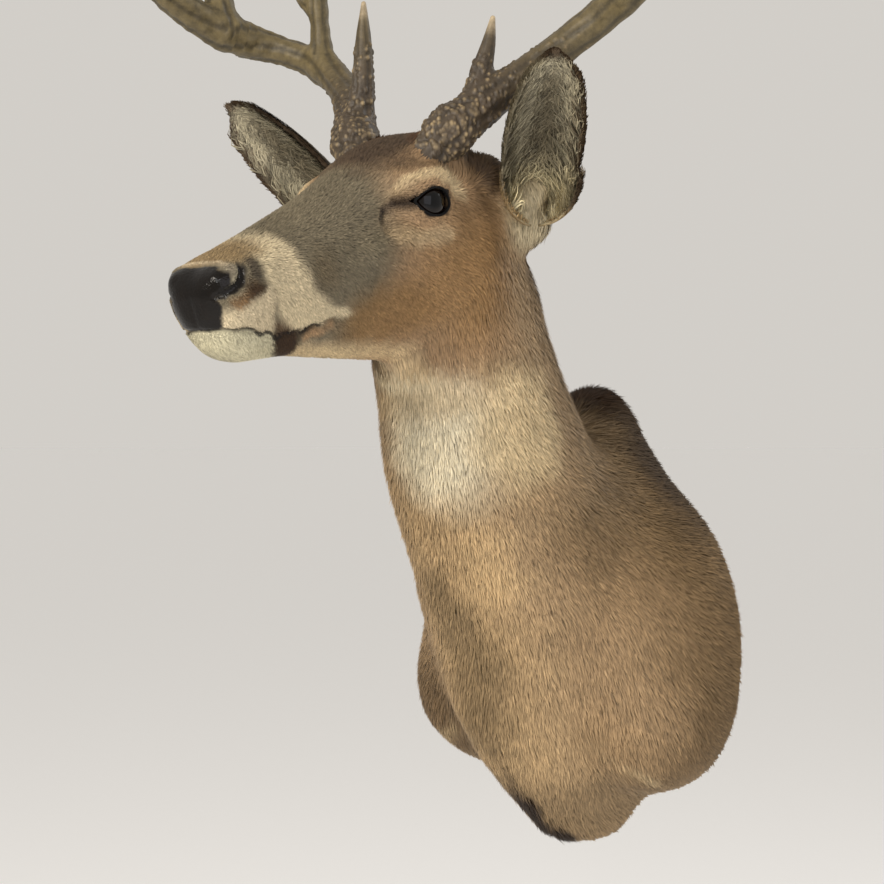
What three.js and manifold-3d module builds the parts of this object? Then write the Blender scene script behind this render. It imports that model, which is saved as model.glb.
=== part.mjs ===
// Shoulder mount of a white-tailed buck: head, neck and shoulders of a deer on a flat back.
// Millimetres. X is the deer's left, Y points into the wall, Z is up.
// The origin is on the wall plane, in the middle of the back.
import * as THREE from 'three';
import { mergeVertices } from 'three/addons/utils/BufferGeometryUtils.js';
import Module from 'manifold-3d';

// ---------- driving dimensions ----------
const GAP = 0.3;                     // clearance between neighbouring pieces
const EYE_TO_NOSE = 184;             // from between the eyes to the tip of the nose
const EYE_LINE = new THREE.Vector3(6, -254, 288);   // midpoint between the eyes
const HEAD_YAW = 8.7;                // degrees, the head looks a little to its left
const HEAD_PITCH = 21.3;             // degrees, nose down
const HEAD_ROLL = -1.4;
const EYE_RADIUS = 17;
const EYE_SEAT = [-4, 36, 3.5];      // centre of the left eyeball in the head's frame
const NECK_CENTRE_X = 2;
const NECK_FOOT = -60;               // lowest and highest level of the neck's loft
const NECK_HEAD = 290;
const NECK_TOP = 300;                // where the neck is rounded off inside the head
const TRUNK_CELL = 22;               // size of the facets on each part of the hide
const NECK_CELL = 21;
const HEAD_CELL = 9.7;
const BOARD_THICKNESS = 15;
const BOARD_TOP = 140;
const BOARD_BOTTOM = -128;
const BOARD_HALF_WIDTH = 88;
const EAR_THICKNESS = 6;
const EAR_RINGS = 10;
const EAR_STEPS = 6;
const BEAM_SIDES = 9;
const TINE_SIDES = 8;
const ANTLER_SEAT = [-54, 40, 41];    // seat of the left antler in the head's frame

// ---------- small mathematics ----------
const rad = THREE.MathUtils.degToRad;
const clamp = THREE.MathUtils.clamp;
const vec = (x, y, z) => new THREE.Vector3(x, y, z);

// A smooth curve of values through named stations.
function profile(stations, values) {
  const last = stations.length - 1;
  const slope = stations.map((_, i) => {
    if (i === 0) return (values[1] - values[0]) / (stations[1] - stations[0]);
    if (i === last) return (values[last] - values[last - 1]) / (stations[last] - stations[last - 1]);
    const before = stations[i] - stations[i - 1];
    const after = stations[i + 1] - stations[i];
    const down = (values[i] - values[i - 1]) / before;
    const up = (values[i + 1] - values[i]) / after;
    return (down * after + up * before) / (before + after);
  });
  return (x) => {
    const at = clamp(x, stations[0], stations[last]);
    let i = 0;
    while (i < last - 1 && at > stations[i + 1]) i += 1;
    const span = stations[i + 1] - stations[i];
    const t = (at - stations[i]) / span;
    const t2 = t * t;
    const t3 = t2 * t;
    return (2 * t3 - 3 * t2 + 1) * values[i] + (t3 - 2 * t2 + t) * span * slope[i]
      + (3 * t2 - 2 * t3) * values[i + 1] + (t3 - t2) * span * slope[i + 1];
  };
}

// Distances: negative inside a form, positive outside.
function join(a, b, blend) {
  const h = clamp(0.5 + 0.5 * (b - a) / blend, 0, 1);
  return b * (1 - h) + a * h - blend * h * (1 - h);
}
const carve = (a, b, blend) => -join(-a, b, blend);

function egg(p, centre, radii, turn) {
  const q = [p[0] - centre[0], p[1] - centre[1], p[2] - centre[2]];
  if (turn) {
    const c = Math.cos(rad(turn));
    const s = Math.sin(rad(turn));
    const x = c * q[0] + s * q[1];
    q[1] = c * q[1] - s * q[0];
    q[0] = x;
  }
  const far = Math.hypot(q[0] / radii[0], q[1] / radii[1], q[2] / radii[2]);
  const steep = Math.hypot(q[0] / radii[0] ** 2, q[1] / radii[1] ** 2, q[2] / radii[2] ** 2);
  return far * (far - 1) / Math.max(steep, 1e-9);
}

function limb(p, a, b, radiusA, radiusB) {
  const ab = [b[0] - a[0], b[1] - a[1], b[2] - a[2]];
  const ap = [p[0] - a[0], p[1] - a[1], p[2] - a[2]];
  const along = (ap[0] * ab[0] + ap[1] * ab[1] + ap[2] * ab[2]) / (ab[0] ** 2 + ab[1] ** 2 + ab[2] ** 2);
  const t = clamp(along, 0, 1);
  const off = Math.hypot(ap[0] - t * ab[0], ap[1] - t * ab[1], ap[2] - t * ab[2]);
  return off - (radiusA + (radiusB - radiusA) * t);
}

// ---------- the head's own frame: x to the nose, y to its left, z up ----------
const headTurn = new THREE.Matrix4().makeRotationZ(rad(HEAD_YAW - 90))
  .multiply(new THREE.Matrix4().makeRotationY(rad(HEAD_PITCH)))
  .multiply(new THREE.Matrix4().makeRotationX(rad(HEAD_ROLL)));
const headFrame = new THREE.Matrix4().makeTranslation(EYE_LINE.x, EYE_LINE.y, EYE_LINE.z).multiply(headTurn);
const headFrameBack = headFrame.clone().invert();
const onHead = (x, y, z) => vec(x, y, z).applyMatrix4(headFrame);

// ---------- ears: where each is rooted and how it is turned ----------
const EARS = {
  left: {
    root: onHead(-104, 63.5, -22.5), along: vec(0.573, -0.466, 0.674).normalize(),
    open: vec(0.537, -0.407, -0.739), length: 126, breadth: 0.84,
  },
  right: {
    root: onHead(-88.5, -68.5, -28.5), along: vec(-0.46, -0.608, 0.648).normalize(),
    open: vec(0.235, -0.786, -0.571), length: 139, breadth: 0.94,
  },
};
const earStations = [0, 0.08, 0.18, 0.3, 0.45, 0.6, 0.75, 0.87, 0.95, 1];
const earHalfWidth = profile(earStations, [13, 20, 26, 29.5, 30.5, 29, 24, 16.5, 9.5, 3]);
const earWrap = profile([0, 0.1, 0.2, 0.3, 0.45, 0.6, 0.8, 1], [168, 138, 112, 94, 78, 68, 60, 52]);

// The muscle that carries an ear closes the foot of its tube.
function earFoot(p, ear) {
  const low = ear.root.clone().addScaledVector(ear.along, -14);
  const high = ear.root.clone().addScaledVector(ear.along, 12);
  return limb(p, low.toArray(), high.toArray(), 20, 15 * ear.breadth);
}

// ---------- head: sections from the poll to the nose, with the features over them ----------
const HEAD_STATIONS = [-130, -100, -70, -45, -20, 5, 30, 60, 90, 120, 145, 162, 174, EYE_TO_NOSE];
const headTop = profile(HEAD_STATIONS, [20, 34, 42.5, 46, 46, 42, 36, 29.5, 25.5, 21, 17.5, 14.5, 10.5, 3]);
const headBottom = profile(HEAD_STATIONS, [-98, -106, -109, -109, -107, -102, -94, -83, -72, -61, -55, -50, -41, -24]);
const headWidth = profile(HEAD_STATIONS, [44, 50, 53, 53, 52, 48.5, 42, 36, 32, 30, 29, 28.5, 25.5, 16]);
const headWaist = profile(HEAD_STATIONS, [-26, -26, -24, -22, -20, -18, -18, -18, -16, -14, -12, -10, -8, -7]);
const crownPower = profile(HEAD_STATIONS, [2.2, 2.3, 2.4, 2.4, 2.3, 2.15, 2, 2, 2, 2.2, 2.4, 2.5, 2.5, 2.4]);
const jawPower = profile(HEAD_STATIONS, [2, 2, 1.9, 1.85, 1.8, 1.75, 1.7, 1.7, 1.8, 1.95, 2.1, 2.2, 2.3, 2.3]);

const POLL_ROUNDING_START = -112;    // the skull is rounded off behind the poll
const POLL_ROUNDING = 40;

function headLoft(q) {
  const x = clamp(q[0], HEAD_STATIONS[0], EYE_TO_NOSE);
  const waist = headWaist(x);
  const rise = q[2] - waist;
  const width = headWidth(x);
  const height = rise > 0 ? headTop(x) - waist : waist - headBottom(x);
  const power = rise > 0 ? crownPower(x) : jawPower(x);
  const across = Math.abs(q[1]) / width;
  const upright = Math.abs(rise) / height;
  const share = (across ** power + upright ** power + 1e-9) ** (1 / power);
  const reach = share < 1e-3 ? Math.min(width, height) : Math.hypot(q[1], rise) / share;
  const nosed = carve((share - 1) * reach * 0.9, EYE_TO_NOSE - q[0], 6);
  return carve(nosed, q[0] - POLL_ROUNDING_START, POLL_ROUNDING);
}

function head(p) {
  const v = vec(p[0], p[1], p[2]).applyMatrix4(headFrameBack);
  const q = [v.x, v.y, v.z];
  const m = [v.x, Math.abs(v.y), v.z];
  let d = headLoft(q);
  d = join(d, egg(m, [-8, 40, 14], [26, 17, 13]), 12);                 // brow
  d = join(d, egg(m, [-38, 36, -46], [40, 20, 38]), 22);               // cheek
  d = join(d, limb(m, [-20, 45, -14], [48, 33, -14], 9, 6), 14);       // ridge under the eye
  d = join(d, egg(m, [-92, 48, -26], [24, 20, 28]), 14);               // root of the ear
  d = carve(d, egg(m, [34, 47, 6], [20, 7, 6], -16), 8);               // hollow before the eye
  d = join(d, egg(m, [150, 17, -8], [26, 14, 17]), 10);                // whisker pad
  d = join(d, egg(m, [163, 15, 4], [14, 12, 10]), 8);                  // wing of the nostril
  d = join(d, egg(q, [156, 0, -36], [17, 17, 11]), 8);                 // chin
  for (const ear of Object.values(EARS)) d = join(d, earFoot(p, ear), 12);
  return carve(d, egg(m, [-2, 56, 4], [17, 12, 10.5]), 5);             // opening of the lids
}

// ---------- neck: oval sections at each level ----------
const NECK_LEVELS = [NECK_FOOT, -20, 14, 33, 68, 106, 120, 143, 165, 187, 215, 244, NECK_HEAD];
const neckCentre = profile(NECK_LEVELS, [-12, -34, -58, -70, -93, -117, -125, -135, -143, -151, -158, -163, -168]);
const neckHalfWidth = profile(NECK_LEVELS, [98, 99, 97, 92, 84, 77, 73.5, 69.5, 66, 63, 58, 55, 50]);
const neckHalfDepth = profile(NECK_LEVELS, [100, 104, 104, 100, 96, 90, 87, 82.5, 78.5, 75, 70, 66, 56]);
const NECK_LEAN = 0.93;              // cosine of the neck's lean, for true distances

function neck(p) {
  const z = clamp(p[2], NECK_FOOT, NECK_HEAD);
  const x = p[0] - NECK_CENTRE_X;
  const y = p[1] - neckCentre(z);
  const share = ((Math.abs(x) / neckHalfWidth(z)) ** 2.1 + (Math.abs(y) / neckHalfDepth(z)) ** 2.1 + 1e-9) ** (1 / 2.1);
  const reach = share < 1e-3 ? neckHalfWidth(z) : Math.hypot(x, y) / share;
  const footed = carve((share - 1) * reach * NECK_LEAN, p[2] - NECK_FOOT, 20);
  return carve(footed, NECK_TOP - p[2], 60);
}

// ---------- trunk: chest, withers, shoulders and brisket ----------
function trunk(p) {
  const m = [Math.abs(p[0]), p[1], p[2]];
  let d = egg(p, [0, -14, -8], [108, 120, 150]);                       // chest
  d = join(d, egg(m, [72, -2, -20], [68, 88, 110], 12), 30);           // shoulder blade and arm
  d = join(d, limb(p, [0, 10, 138], [0, -20, 60], 44, 78), 40);        // withers
  d = join(d, egg(m, [84, -44, -64], [50, 48, 52]), 30);               // point of the shoulder
  return join(d, limb(p, [0, -88, -40], [0, -8, -146], 42, 36), 34);   // brisket
}

const hide = (p) => join(join(trunk(p), neck(p), 30), head(p), 18);

// ---------- facets over a form ----------
// One point for each cell that the surface crosses, moved onto the surface, and one
// square for each grid edge that it crosses.
function wrap(form, low, high, cell) {
  const count = [0, 1, 2].map((i) => Math.ceil((high[i] - low[i]) / cell) + 1);
  const index = (i, j, k) => (i * count[1] + j) * count[2] + k;
  const place = (i, j, k) => [low[0] + i * cell, low[1] + j * cell, low[2] + k * cell];
  const value = new Float64Array(count[0] * count[1] * count[2]);
  for (let i = 0; i < count[0]; i += 1) {
    for (let j = 0; j < count[1]; j += 1) {
      for (let k = 0; k < count[2]; k += 1) value[index(i, j, k)] = form(place(i, j, k));
    }
  }
  const corners = [];
  for (let c = 0; c < 8; c += 1) corners.push([c >> 2, (c >> 1) & 1, c & 1]);
  const positions = [];
  const pointOf = new Map();
  for (let i = 0; i < count[0] - 1; i += 1) {
    for (let j = 0; j < count[1] - 1; j += 1) {
      for (let k = 0; k < count[2] - 1; k += 1) {
        const point = cellPoint(i, j, k);
        if (point) {
          pointOf.set(index(i, j, k), positions.length / 3);
          positions.push(...settle(point));
        }
      }
    }
  }
  function cellPoint(i, j, k) {
    const sum = [0, 0, 0];
    let crossings = 0;
    for (const a of corners) {
      for (let axis = 0; axis < 3; axis += 1) {
        if (a[axis] === 1) continue;
        const b = [...a];
        b[axis] = 1;
        const va = value[index(i + a[0], j + a[1], k + a[2])];
        const vb = value[index(i + b[0], j + b[1], k + b[2])];
        if ((va < 0) === (vb < 0)) continue;
        const t = va / (va - vb);
        for (let n = 0; n < 3; n += 1) sum[n] += a[n] + t * (b[n] - a[n]);
        crossings += 1;
      }
    }
    if (crossings === 0) return null;
    return [i, j, k].map((n, at) => low[at] + (n + sum[at] / crossings) * cell);
  }
  function settle(point) {
    const reach = 0.5;
    let p = point;
    for (let step = 0; step < 3; step += 1) {
      const d = form(p);
      const slope = [0, 1, 2].map((n) => {
        const q = [...p];
        q[n] += reach;
        return (form(q) - d) / reach;
      });
      const steep = Math.max(slope[0] ** 2 + slope[1] ** 2 + slope[2] ** 2, 0.2);
      const move = clamp(d / steep, -0.3 * cell, 0.3 * cell);
      p = p.map((x, n) => x - move * slope[n]);
    }
    return p;
  }
  const faces = [];
  for (let axis = 0; axis < 3; axis += 1) {
    const u = (axis + 1) % 3;
    const w = (axis + 2) % 3;
    const at = [0, 0, 0];
    for (at[0] = 0; at[0] < count[0]; at[0] += 1) {
      for (at[1] = 0; at[1] < count[1]; at[1] += 1) {
        for (at[2] = 0; at[2] < count[2]; at[2] += 1) {
          if (at[axis] > count[axis] - 2 || at[u] < 1 || at[w] < 1) continue;
          if (at[u] > count[u] - 2 || at[w] > count[w] - 2) continue;
          const next = [...at];
          next[axis] += 1;
          const inside = value[index(...at)] < 0;
          if (inside === value[index(...next)] < 0) continue;
          const ring = [[1, 1], [0, 1], [0, 0], [1, 0]].map(([du, dw]) => {
            const cellAt = [...at];
            cellAt[u] -= du;
            cellAt[w] -= dw;
            return pointOf.get(index(...cellAt));
          });
          if (!inside) ring.reverse();
          faces.push(ring[0], ring[1], ring[2], ring[0], ring[2], ring[3]);
        }
      }
    }
  }
  return shell(positions, faces);
}

function shell(positions, faces) {
  const geometry = new THREE.BufferGeometry();
  geometry.setAttribute('position', new THREE.Float32BufferAttribute(positions, 3));
  geometry.setIndex(faces);
  return geometry;
}

// ---------- solids, for cutting one piece by another ----------
const wasm = await Module();
wasm.setup();

function solid(geometry) {
  const bare = geometry.clone();
  bare.deleteAttribute('normal');
  bare.deleteAttribute('uv');
  const merged = mergeVertices(bare, 1e-4);
  return new wasm.Manifold(new wasm.Mesh({
    numProp: 3,
    vertProperties: new Float32Array(merged.attributes.position.array),
    triVerts: new Uint32Array(merged.index.array),
  }));
}

function geometryOf(body) {
  const mesh = body.getMesh();
  return shell(Array.from(mesh.vertProperties), Array.from(mesh.triVerts));
}

const group = new THREE.Group();
const material = (color, roughness) => new THREE.MeshStandardMaterial({ color, roughness, metalness: 0 });
const coat = material(0x8a7355, 0.9);
const earCoat = material(0x6f5f4c, 0.9);
const glass = material(0x0b0a09, 0.05);
const antlerBone = material(0x7d6a4a, 0.6);
const plywood = material(0xc2a373, 0.8);

function add(name, body, finish) {
  const mesh = new THREE.Mesh(geometryOf(body), finish);
  mesh.name = name;
  group.add(mesh);
}

// A large block whose lower face lies on the plane through a point, facing along a direction.
function half(point, facing) {
  const size = 1200;
  const block = new THREE.BoxGeometry(size, size, size);
  block.translate(0, 0, size / 2);
  const turn = new THREE.Quaternion().setFromUnitVectors(vec(0, 0, 1), facing.clone().normalize());
  block.applyQuaternion(turn);
  return block.translate(point.x, point.y, point.z);
}

const beyond = (point, facing) => solid(half(point.clone().addScaledVector(facing.clone().normalize(), GAP / 2), facing));

// ---------- eyes: full glass balls in their sockets ----------
function eyeBall(side, radius) {
  const centre = onHead(EYE_SEAT[0], side * EYE_SEAT[1], EYE_SEAT[2]);
  return solid(new THREE.SphereGeometry(radius, 12, 8).translate(centre.x, centre.y, centre.z));
}

// ---------- ears: cupped leaves, almost a tube at the root ----------
function earSolid(ear) {
  const along = ear.along;
  const open = ear.open.clone().addScaledVector(along, -ear.open.dot(along)).normalize();
  const side = along.clone().cross(open);
  const positions = [];
  for (let i = 0; i < EAR_RINGS; i += 1) {
    const t = i / (EAR_RINGS - 1);
    const wrapAngle = rad(earWrap(t));
    const radius = ear.breadth * earHalfWidth(t) / Math.sin(Math.min(wrapAngle, Math.PI / 2));
    const thick = EAR_THICKNESS * clamp((1.05 - t) * 5, 0.3, 1);
    const centre = ear.root.clone().addScaledVector(along, t * ear.length)
      .addScaledVector(open, radius - 6 * Math.sin(Math.PI * t));
    for (const [from, to, reach] of [[-1, 1, radius + thick / 2], [1, -1, Math.max(radius - thick / 2, 1)]]) {
      for (let k = 0; k <= EAR_STEPS; k += 1) {
        const angle = (from + (to - from) * k / EAR_STEPS) * wrapAngle;
        const point = centre.clone().addScaledVector(open, -Math.cos(angle) * reach)
          .addScaledVector(side, Math.sin(angle) * reach);
        positions.push(point.x, point.y, point.z);
      }
    }
  }
  const around = 2 * (EAR_STEPS + 1);
  const faces = [];
  const square = (a, b, c, d) => faces.push(a, c, b, a, d, c);
  for (let i = 0; i < EAR_RINGS - 1; i += 1) {
    for (let k = 0; k < around; k += 1) {
      const next = (k + 1) % around;
      square(i * around + k, i * around + next, (i + 1) * around + next, (i + 1) * around + k);
    }
  }
  const top = (EAR_RINGS - 1) * around;
  for (let k = 0; k < EAR_STEPS; k += 1) {
    square(around - 1 - k, around - 2 - k, k + 1, k);
    square(top + k, top + k + 1, top + around - 2 - k, top + around - 1 - k);
  }
  return solid(shell(positions, faces));
}

// ---------- antlers: [outward, forward, up, radius] from the seat of each antler ----------
const outward = vec(Math.cos(rad(HEAD_YAW)), Math.sin(rad(HEAD_YAW)), 0);
const forward = vec(Math.sin(rad(HEAD_YAW)), -Math.cos(rad(HEAD_YAW)), 0);
const upward = vec(0, 0, 1);
const SIDES = { left: 1, right: -1 };
const seat = {
  left: onHead(ANTLER_SEAT[0], ANTLER_SEAT[1], ANTLER_SEAT[2]),
  right: onHead(ANTLER_SEAT[0], -ANTLER_SEAT[1], ANTLER_SEAT[2]),
};
const PEDICLE = [[-16, 16, -30, 13], [-5, 5, -8, 14], [-1, 1, -2, 20], [3, -3, 4, 19], [8, -9, 10, 16]];
const BEAMS = {
  right: [...PEDICLE, [25, -28, 30, 13.5], [49, -48, 53, 12], [75, -61, 74, 12.5], [100, -62, 88, 11],
    [124, -53, 98, 11], [142, -34, 105, 14], [153, -4, 113, 13], [162, 38, 132, 10.5], [163, 86, 160, 9.5],
    [154, 132, 188, 8], [134, 170, 210, 5.5], [112, 196, 222, 2.5]],
  left: [...PEDICLE, [25, -28, 30, 13], [49, -48, 53, 11.5], [75, -61, 74, 11.5], [100, -61, 89, 12],
    [124, -53, 100, 11.5], [143, -34, 110, 11], [155, -4, 122, 11], [164, 38, 142, 11], [165, 86, 168, 9.5],
    [156, 132, 192, 8], [136, 170, 212, 5.5], [114, 196, 224, 2.5]],
};
const TINES = {
  right: {
    brow_tine: [[4, -8, 8, 11], [2, -10, 40, 8.5], [1, -10, 74, 6], [0, -9, 102, 1.8]],
    second_tine: [[82, -62, 78, 10], [84, -60, 112, 7.5], [84, -56, 150, 7.5], [78, -46, 196, 5.5], [70, -36, 228, 2]],
    third_tine: [[147, -20, 108, 13], [152, -14, 150, 9.5], [152, -4, 190, 7.5], [146, 10, 228, 2]],
    sticker_point: [[86, -59, 122, 5], [96, -56, 130, 4.5], [104, -52, 142, 2]],
  },
  left: {
    brow_tine: [[12, -14, 16, 9], [15, -18, 42, 7.5], [19, -21, 62, 5], [22, -22, 80, 1.8]],
    second_tine: [[103, -60, 90, 10], [106, -56, 122, 8], [104, -48, 162, 7], [94, -34, 214, 2]],
    third_tine: [[163, 30, 138, 10], [168, 30, 172, 7.5], [166, 36, 204, 6], [158, 48, 236, 2]],
  },
};
// Where each beam is divided: the places of its two forks.
const FORKS = { right: [[91, -62, 83], [148, -20, 109]], left: [[103, -61, 90], [163, 30, 138]] };

const antlerPlace = (side, at) => seat[side].clone().addScaledVector(outward, SIDES[side] * at[0])
  .addScaledVector(forward, at[1]).addScaledVector(upward, at[2]);

function branch(side, stations, sides, rings, extra) {
  const curve = new THREE.CatmullRomCurve3(stations.map((at) => antlerPlace(side, at)), false, 'catmullrom');
  const lastStation = stations.length - 1;
  const radiusAt = profile(stations.map((_, i) => i / lastStation), stations.map((at) => at[3]));
  const positions = [];
  let across = vec(0, 1, 0);
  for (let i = 0; i < rings; i += 1) {
    const t = i / (rings - 1);
    const centre = curve.getPoint(t);
    const direction = curve.getTangent(t);
    across = across.clone().addScaledVector(direction, -across.dot(direction)).normalize();
    const beside = direction.clone().cross(across);
    const radius = radiusAt(t) + extra;
    for (let k = 0; k < sides; k += 1) {
      const angle = 2 * Math.PI * k / sides;
      const point = centre.clone().addScaledVector(across, radius * Math.cos(angle))
        .addScaledVector(beside, radius * Math.sin(angle));
      positions.push(point.x, point.y, point.z);
    }
  }
  const faces = [];
  for (let i = 0; i < rings - 1; i += 1) {
    for (let k = 0; k < sides; k += 1) {
      const next = (k + 1) % sides;
      const low = i * sides;
      const high = low + sides;
      faces.push(low + k, low + next, high + next, low + k, high + next, high + k);
    }
  }
  const top = (rings - 1) * sides;
  for (let k = 1; k < sides - 1; k += 1) faces.push(0, k + 1, k, top, top + k, top + k + 1);
  return solid(shell(positions, faces));
}

const BEAM_RINGS = 32;
const TINE_RINGS = 9;

function antler(side) {
  const beam = branch(side, BEAMS[side], BEAM_SIDES, BEAM_RINGS, 0);
  const beamSpace = branch(side, BEAMS[side], BEAM_SIDES, BEAM_RINGS, GAP);
  const [first, second] = FORKS[side].map((at) => antlerPlace(side, at));
  const firstFacing = second.clone().sub(seat[side]);
  const tipEnd = antlerPlace(side, BEAMS[side][BEAMS[side].length - 1]);
  const secondFacing = tipEnd.clone().sub(first);
  const afterFirst = beyond(first, firstFacing);
  const beforeFirst = beyond(first, firstFacing.clone().negate());
  const afterSecond = beyond(second, secondFacing);
  const beforeSecond = beyond(second, secondFacing.clone().negate());
  add(`antler_${side}_beam_lower`, beam.intersect(beforeFirst).subtract(headSpace), antlerBone);
  add(`antler_${side}_beam_middle`, beam.intersect(afterFirst).intersect(beforeSecond), antlerBone);
  add(`antler_${side}_beam_tip`, beam.intersect(afterSecond), antlerBone);
  const secondTineSpace = branch(side, TINES[side].second_tine, TINE_SIDES, TINE_RINGS, GAP);
  for (const [name, stations] of Object.entries(TINES[side])) {
    let tine = branch(side, stations, TINE_SIDES, TINE_RINGS, 0).subtract(beamSpace).subtract(headSpace);
    if (name === 'sticker_point') tine = tine.subtract(secondTineSpace);
    add(`antler_${side}_${name}`, tine, antlerBone);
  }
}

// ---------- board, let into the flat back ----------
function boardShape(grow) {
  const shape = new THREE.Shape();
  const half = BOARD_HALF_WIDTH + grow;
  const top = BOARD_TOP + grow;
  const bottom = BOARD_BOTTOM - grow;
  shape.moveTo(0, bottom);
  shape.bezierCurveTo(half * 0.75, bottom, half, bottom * 0.75, half, -20);
  shape.bezierCurveTo(half, top * 0.45, half * 0.5, top, 0, top);
  shape.bezierCurveTo(-half * 0.5, top, -half, top * 0.45, -half, -20);
  shape.bezierCurveTo(-half, bottom * 0.75, -half * 0.75, bottom, 0, bottom);
  return shape;
}

function board(grow, thickness) {
  const plate = new THREE.ExtrudeGeometry(boardShape(grow), { depth: thickness, bevelEnabled: false, curveSegments: 6 });
  return solid(plate.rotateX(Math.PI / 2));
}
// The space that the board takes out of the body, run out past the back.
const boardSpace = board(GAP, 2 * BOARD_THICKNESS + GAP).translate([0, BOARD_THICKNESS, 0]);

// ---------- hide, divided into its parts ----------
const OVERRUN = 20;                  // how far each form runs past the planes that trim it
const FACET_GAP = 1.5 * GAP;         // growth of a faceted form, whose facets cut across its curve
const TRUNK_LOW = [-190, -215, -215];
const TRUNK_HIGH = [190, 40, 260];
const NECK_LOW = [-125, -300, -10];
const NECK_HIGH = [125, 40, 395];
const HEAD_LOW = [-110, -460, 120];
const HEAD_HIGH = [125, -70, 375];

// The hide inside a box, kept closed where the box trims it.
function trimmed(low, high, grow) {
  return (p) => Math.max(hide(p) - grow, ...[0, 1, 2].map((i) => Math.max(low[i] + OVERRUN - p[i], p[i] - high[i] + OVERRUN)));
}
const form = (low, high, cell, grow) => solid(wrap(trimmed(low, high, grow), low, high, cell));
const largest = (body) => body.decompose().sort((a, b) => b.volume() - a.volume())[0];

const headForm = form(HEAD_LOW, HEAD_HIGH, HEAD_CELL, 0);
const headSpace = form(HEAD_LOW, HEAD_HIGH, HEAD_CELL, FACET_GAP);
const neckForm = form(NECK_LOW, NECK_HIGH, NECK_CELL, 0);
const neckSpace = form(NECK_LOW, NECK_HIGH, NECK_CELL, GAP);
const trunkForm = form(TRUNK_LOW, TRUNK_HIGH, TRUNK_CELL, 0);

// The head ends on a slant from behind the ears to the throat.
const THROAT = onHead(22, 0, -104);
const POLL = onHead(-122, 0, 24);
const headFacing = onHead(0, 1, 0).sub(onHead(0, 0, 0)).cross(POLL.clone().sub(THROAT)).normalize();
if (headFacing.dot(forward) < 0) headFacing.negate();

// The neck starts on a wedge: in front of the withers and above the point of the chest.
const NECK_WEDGE_WIDTH = 600;
const NECK_WEDGE = [[-22, 230], [-78, 112], [-420, -174], [-420, 500], [-22, 500]];
function neckWedge(clearance) {
  const shape = new THREE.Shape(NECK_WEDGE.map(([y, z]) => new THREE.Vector2(y - clearance, z + clearance)));
  const block = new THREE.ExtrudeGeometry(shape, { depth: NECK_WEDGE_WIDTH, bevelEnabled: false });
  block.applyMatrix4(new THREE.Matrix4().makeBasis(vec(0, 1, 0), vec(0, 0, 1), vec(1, 0, 0)));
  return solid(block.translate(-NECK_WEDGE_WIDTH / 2, 0, 0));
}

// The shoulders start on planes that run outward to the front.
const SHOULDER_EDGE = 64;
const SHOULDER_SPLAY = 0.25;
const shoulderFacing = (side) => vec(side, SHOULDER_SPLAY, 0);
const shoulderEdge = (side) => vec(side * SHOULDER_EDGE, 0, 0);

const inRoom = solid(half(vec(0, 0, 0), vec(0, -1, 0)));
const trunkSolid = trunkForm.intersect(inRoom).subtract(neckWedge(0)).subtract(boardSpace);

add('backboard', board(0, BOARD_THICKNESS), plywood);
let chest = trunkSolid;
for (const [side, sign] of Object.entries(SIDES)) {
  const facing = shoulderFacing(sign);
  const edge = shoulderEdge(sign);
  chest = chest.intersect(beyond(edge, facing.clone().negate()));
  add(`shoulder_${side}`, largest(trunkSolid.intersect(beyond(edge, facing))), coat);
}
add('chest', largest(chest), coat);
add('neck', largest(neckForm.intersect(neckWedge(GAP)).intersect(beyond(THROAT, headFacing.clone().negate()))), coat);

let headSolid = headForm.intersect(beyond(THROAT, headFacing));
for (const sign of [1, -1]) headSolid = headSolid.subtract(eyeBall(sign, EYE_RADIUS + GAP));
add('head', largest(headSolid), coat);
for (const [side, sign] of Object.entries(SIDES)) {
  add(`eye_${side}`, eyeBall(sign, EYE_RADIUS), glass);
  add(`ear_${side}`, largest(earSolid(EARS[side]).subtract(headSpace).subtract(neckSpace)), earCoat);
  antler(side);
}

export default group;
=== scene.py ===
import math
import bpy
import numpy as np
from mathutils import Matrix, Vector


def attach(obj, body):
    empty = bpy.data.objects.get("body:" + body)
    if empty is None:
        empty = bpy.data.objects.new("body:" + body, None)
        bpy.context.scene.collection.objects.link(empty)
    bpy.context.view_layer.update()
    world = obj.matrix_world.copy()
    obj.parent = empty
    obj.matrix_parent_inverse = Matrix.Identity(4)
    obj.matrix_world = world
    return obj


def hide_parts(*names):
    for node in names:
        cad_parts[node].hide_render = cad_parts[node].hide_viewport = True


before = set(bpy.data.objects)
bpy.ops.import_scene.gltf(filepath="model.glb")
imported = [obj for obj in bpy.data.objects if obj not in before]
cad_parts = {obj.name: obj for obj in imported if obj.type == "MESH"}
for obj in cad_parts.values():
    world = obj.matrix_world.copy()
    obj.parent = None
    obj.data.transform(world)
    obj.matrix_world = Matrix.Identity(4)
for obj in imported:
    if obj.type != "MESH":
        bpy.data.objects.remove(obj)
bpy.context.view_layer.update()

# ------------------------------------------------------------------------------------------
# The form under the hide. A taxidermist draws the tanned skin over a foam body of the head,
# neck and shoulders. It is worked out here in millimetres as a distance: negative inside the
# form and positive outside, with the coat's depth taken off so that the hair fills it again.
# ------------------------------------------------------------------------------------------
MM = 0.001
EYE_LINE = np.array([6.0, -254.0, 288.0])      # midpoint between the eyes
HEAD_YAW, HEAD_PITCH, HEAD_ROLL = 8.7, 21.3, -1.4
EYE_TO_NOSE = 184.0
NECK_CENTRE_X = 2.0


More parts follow.
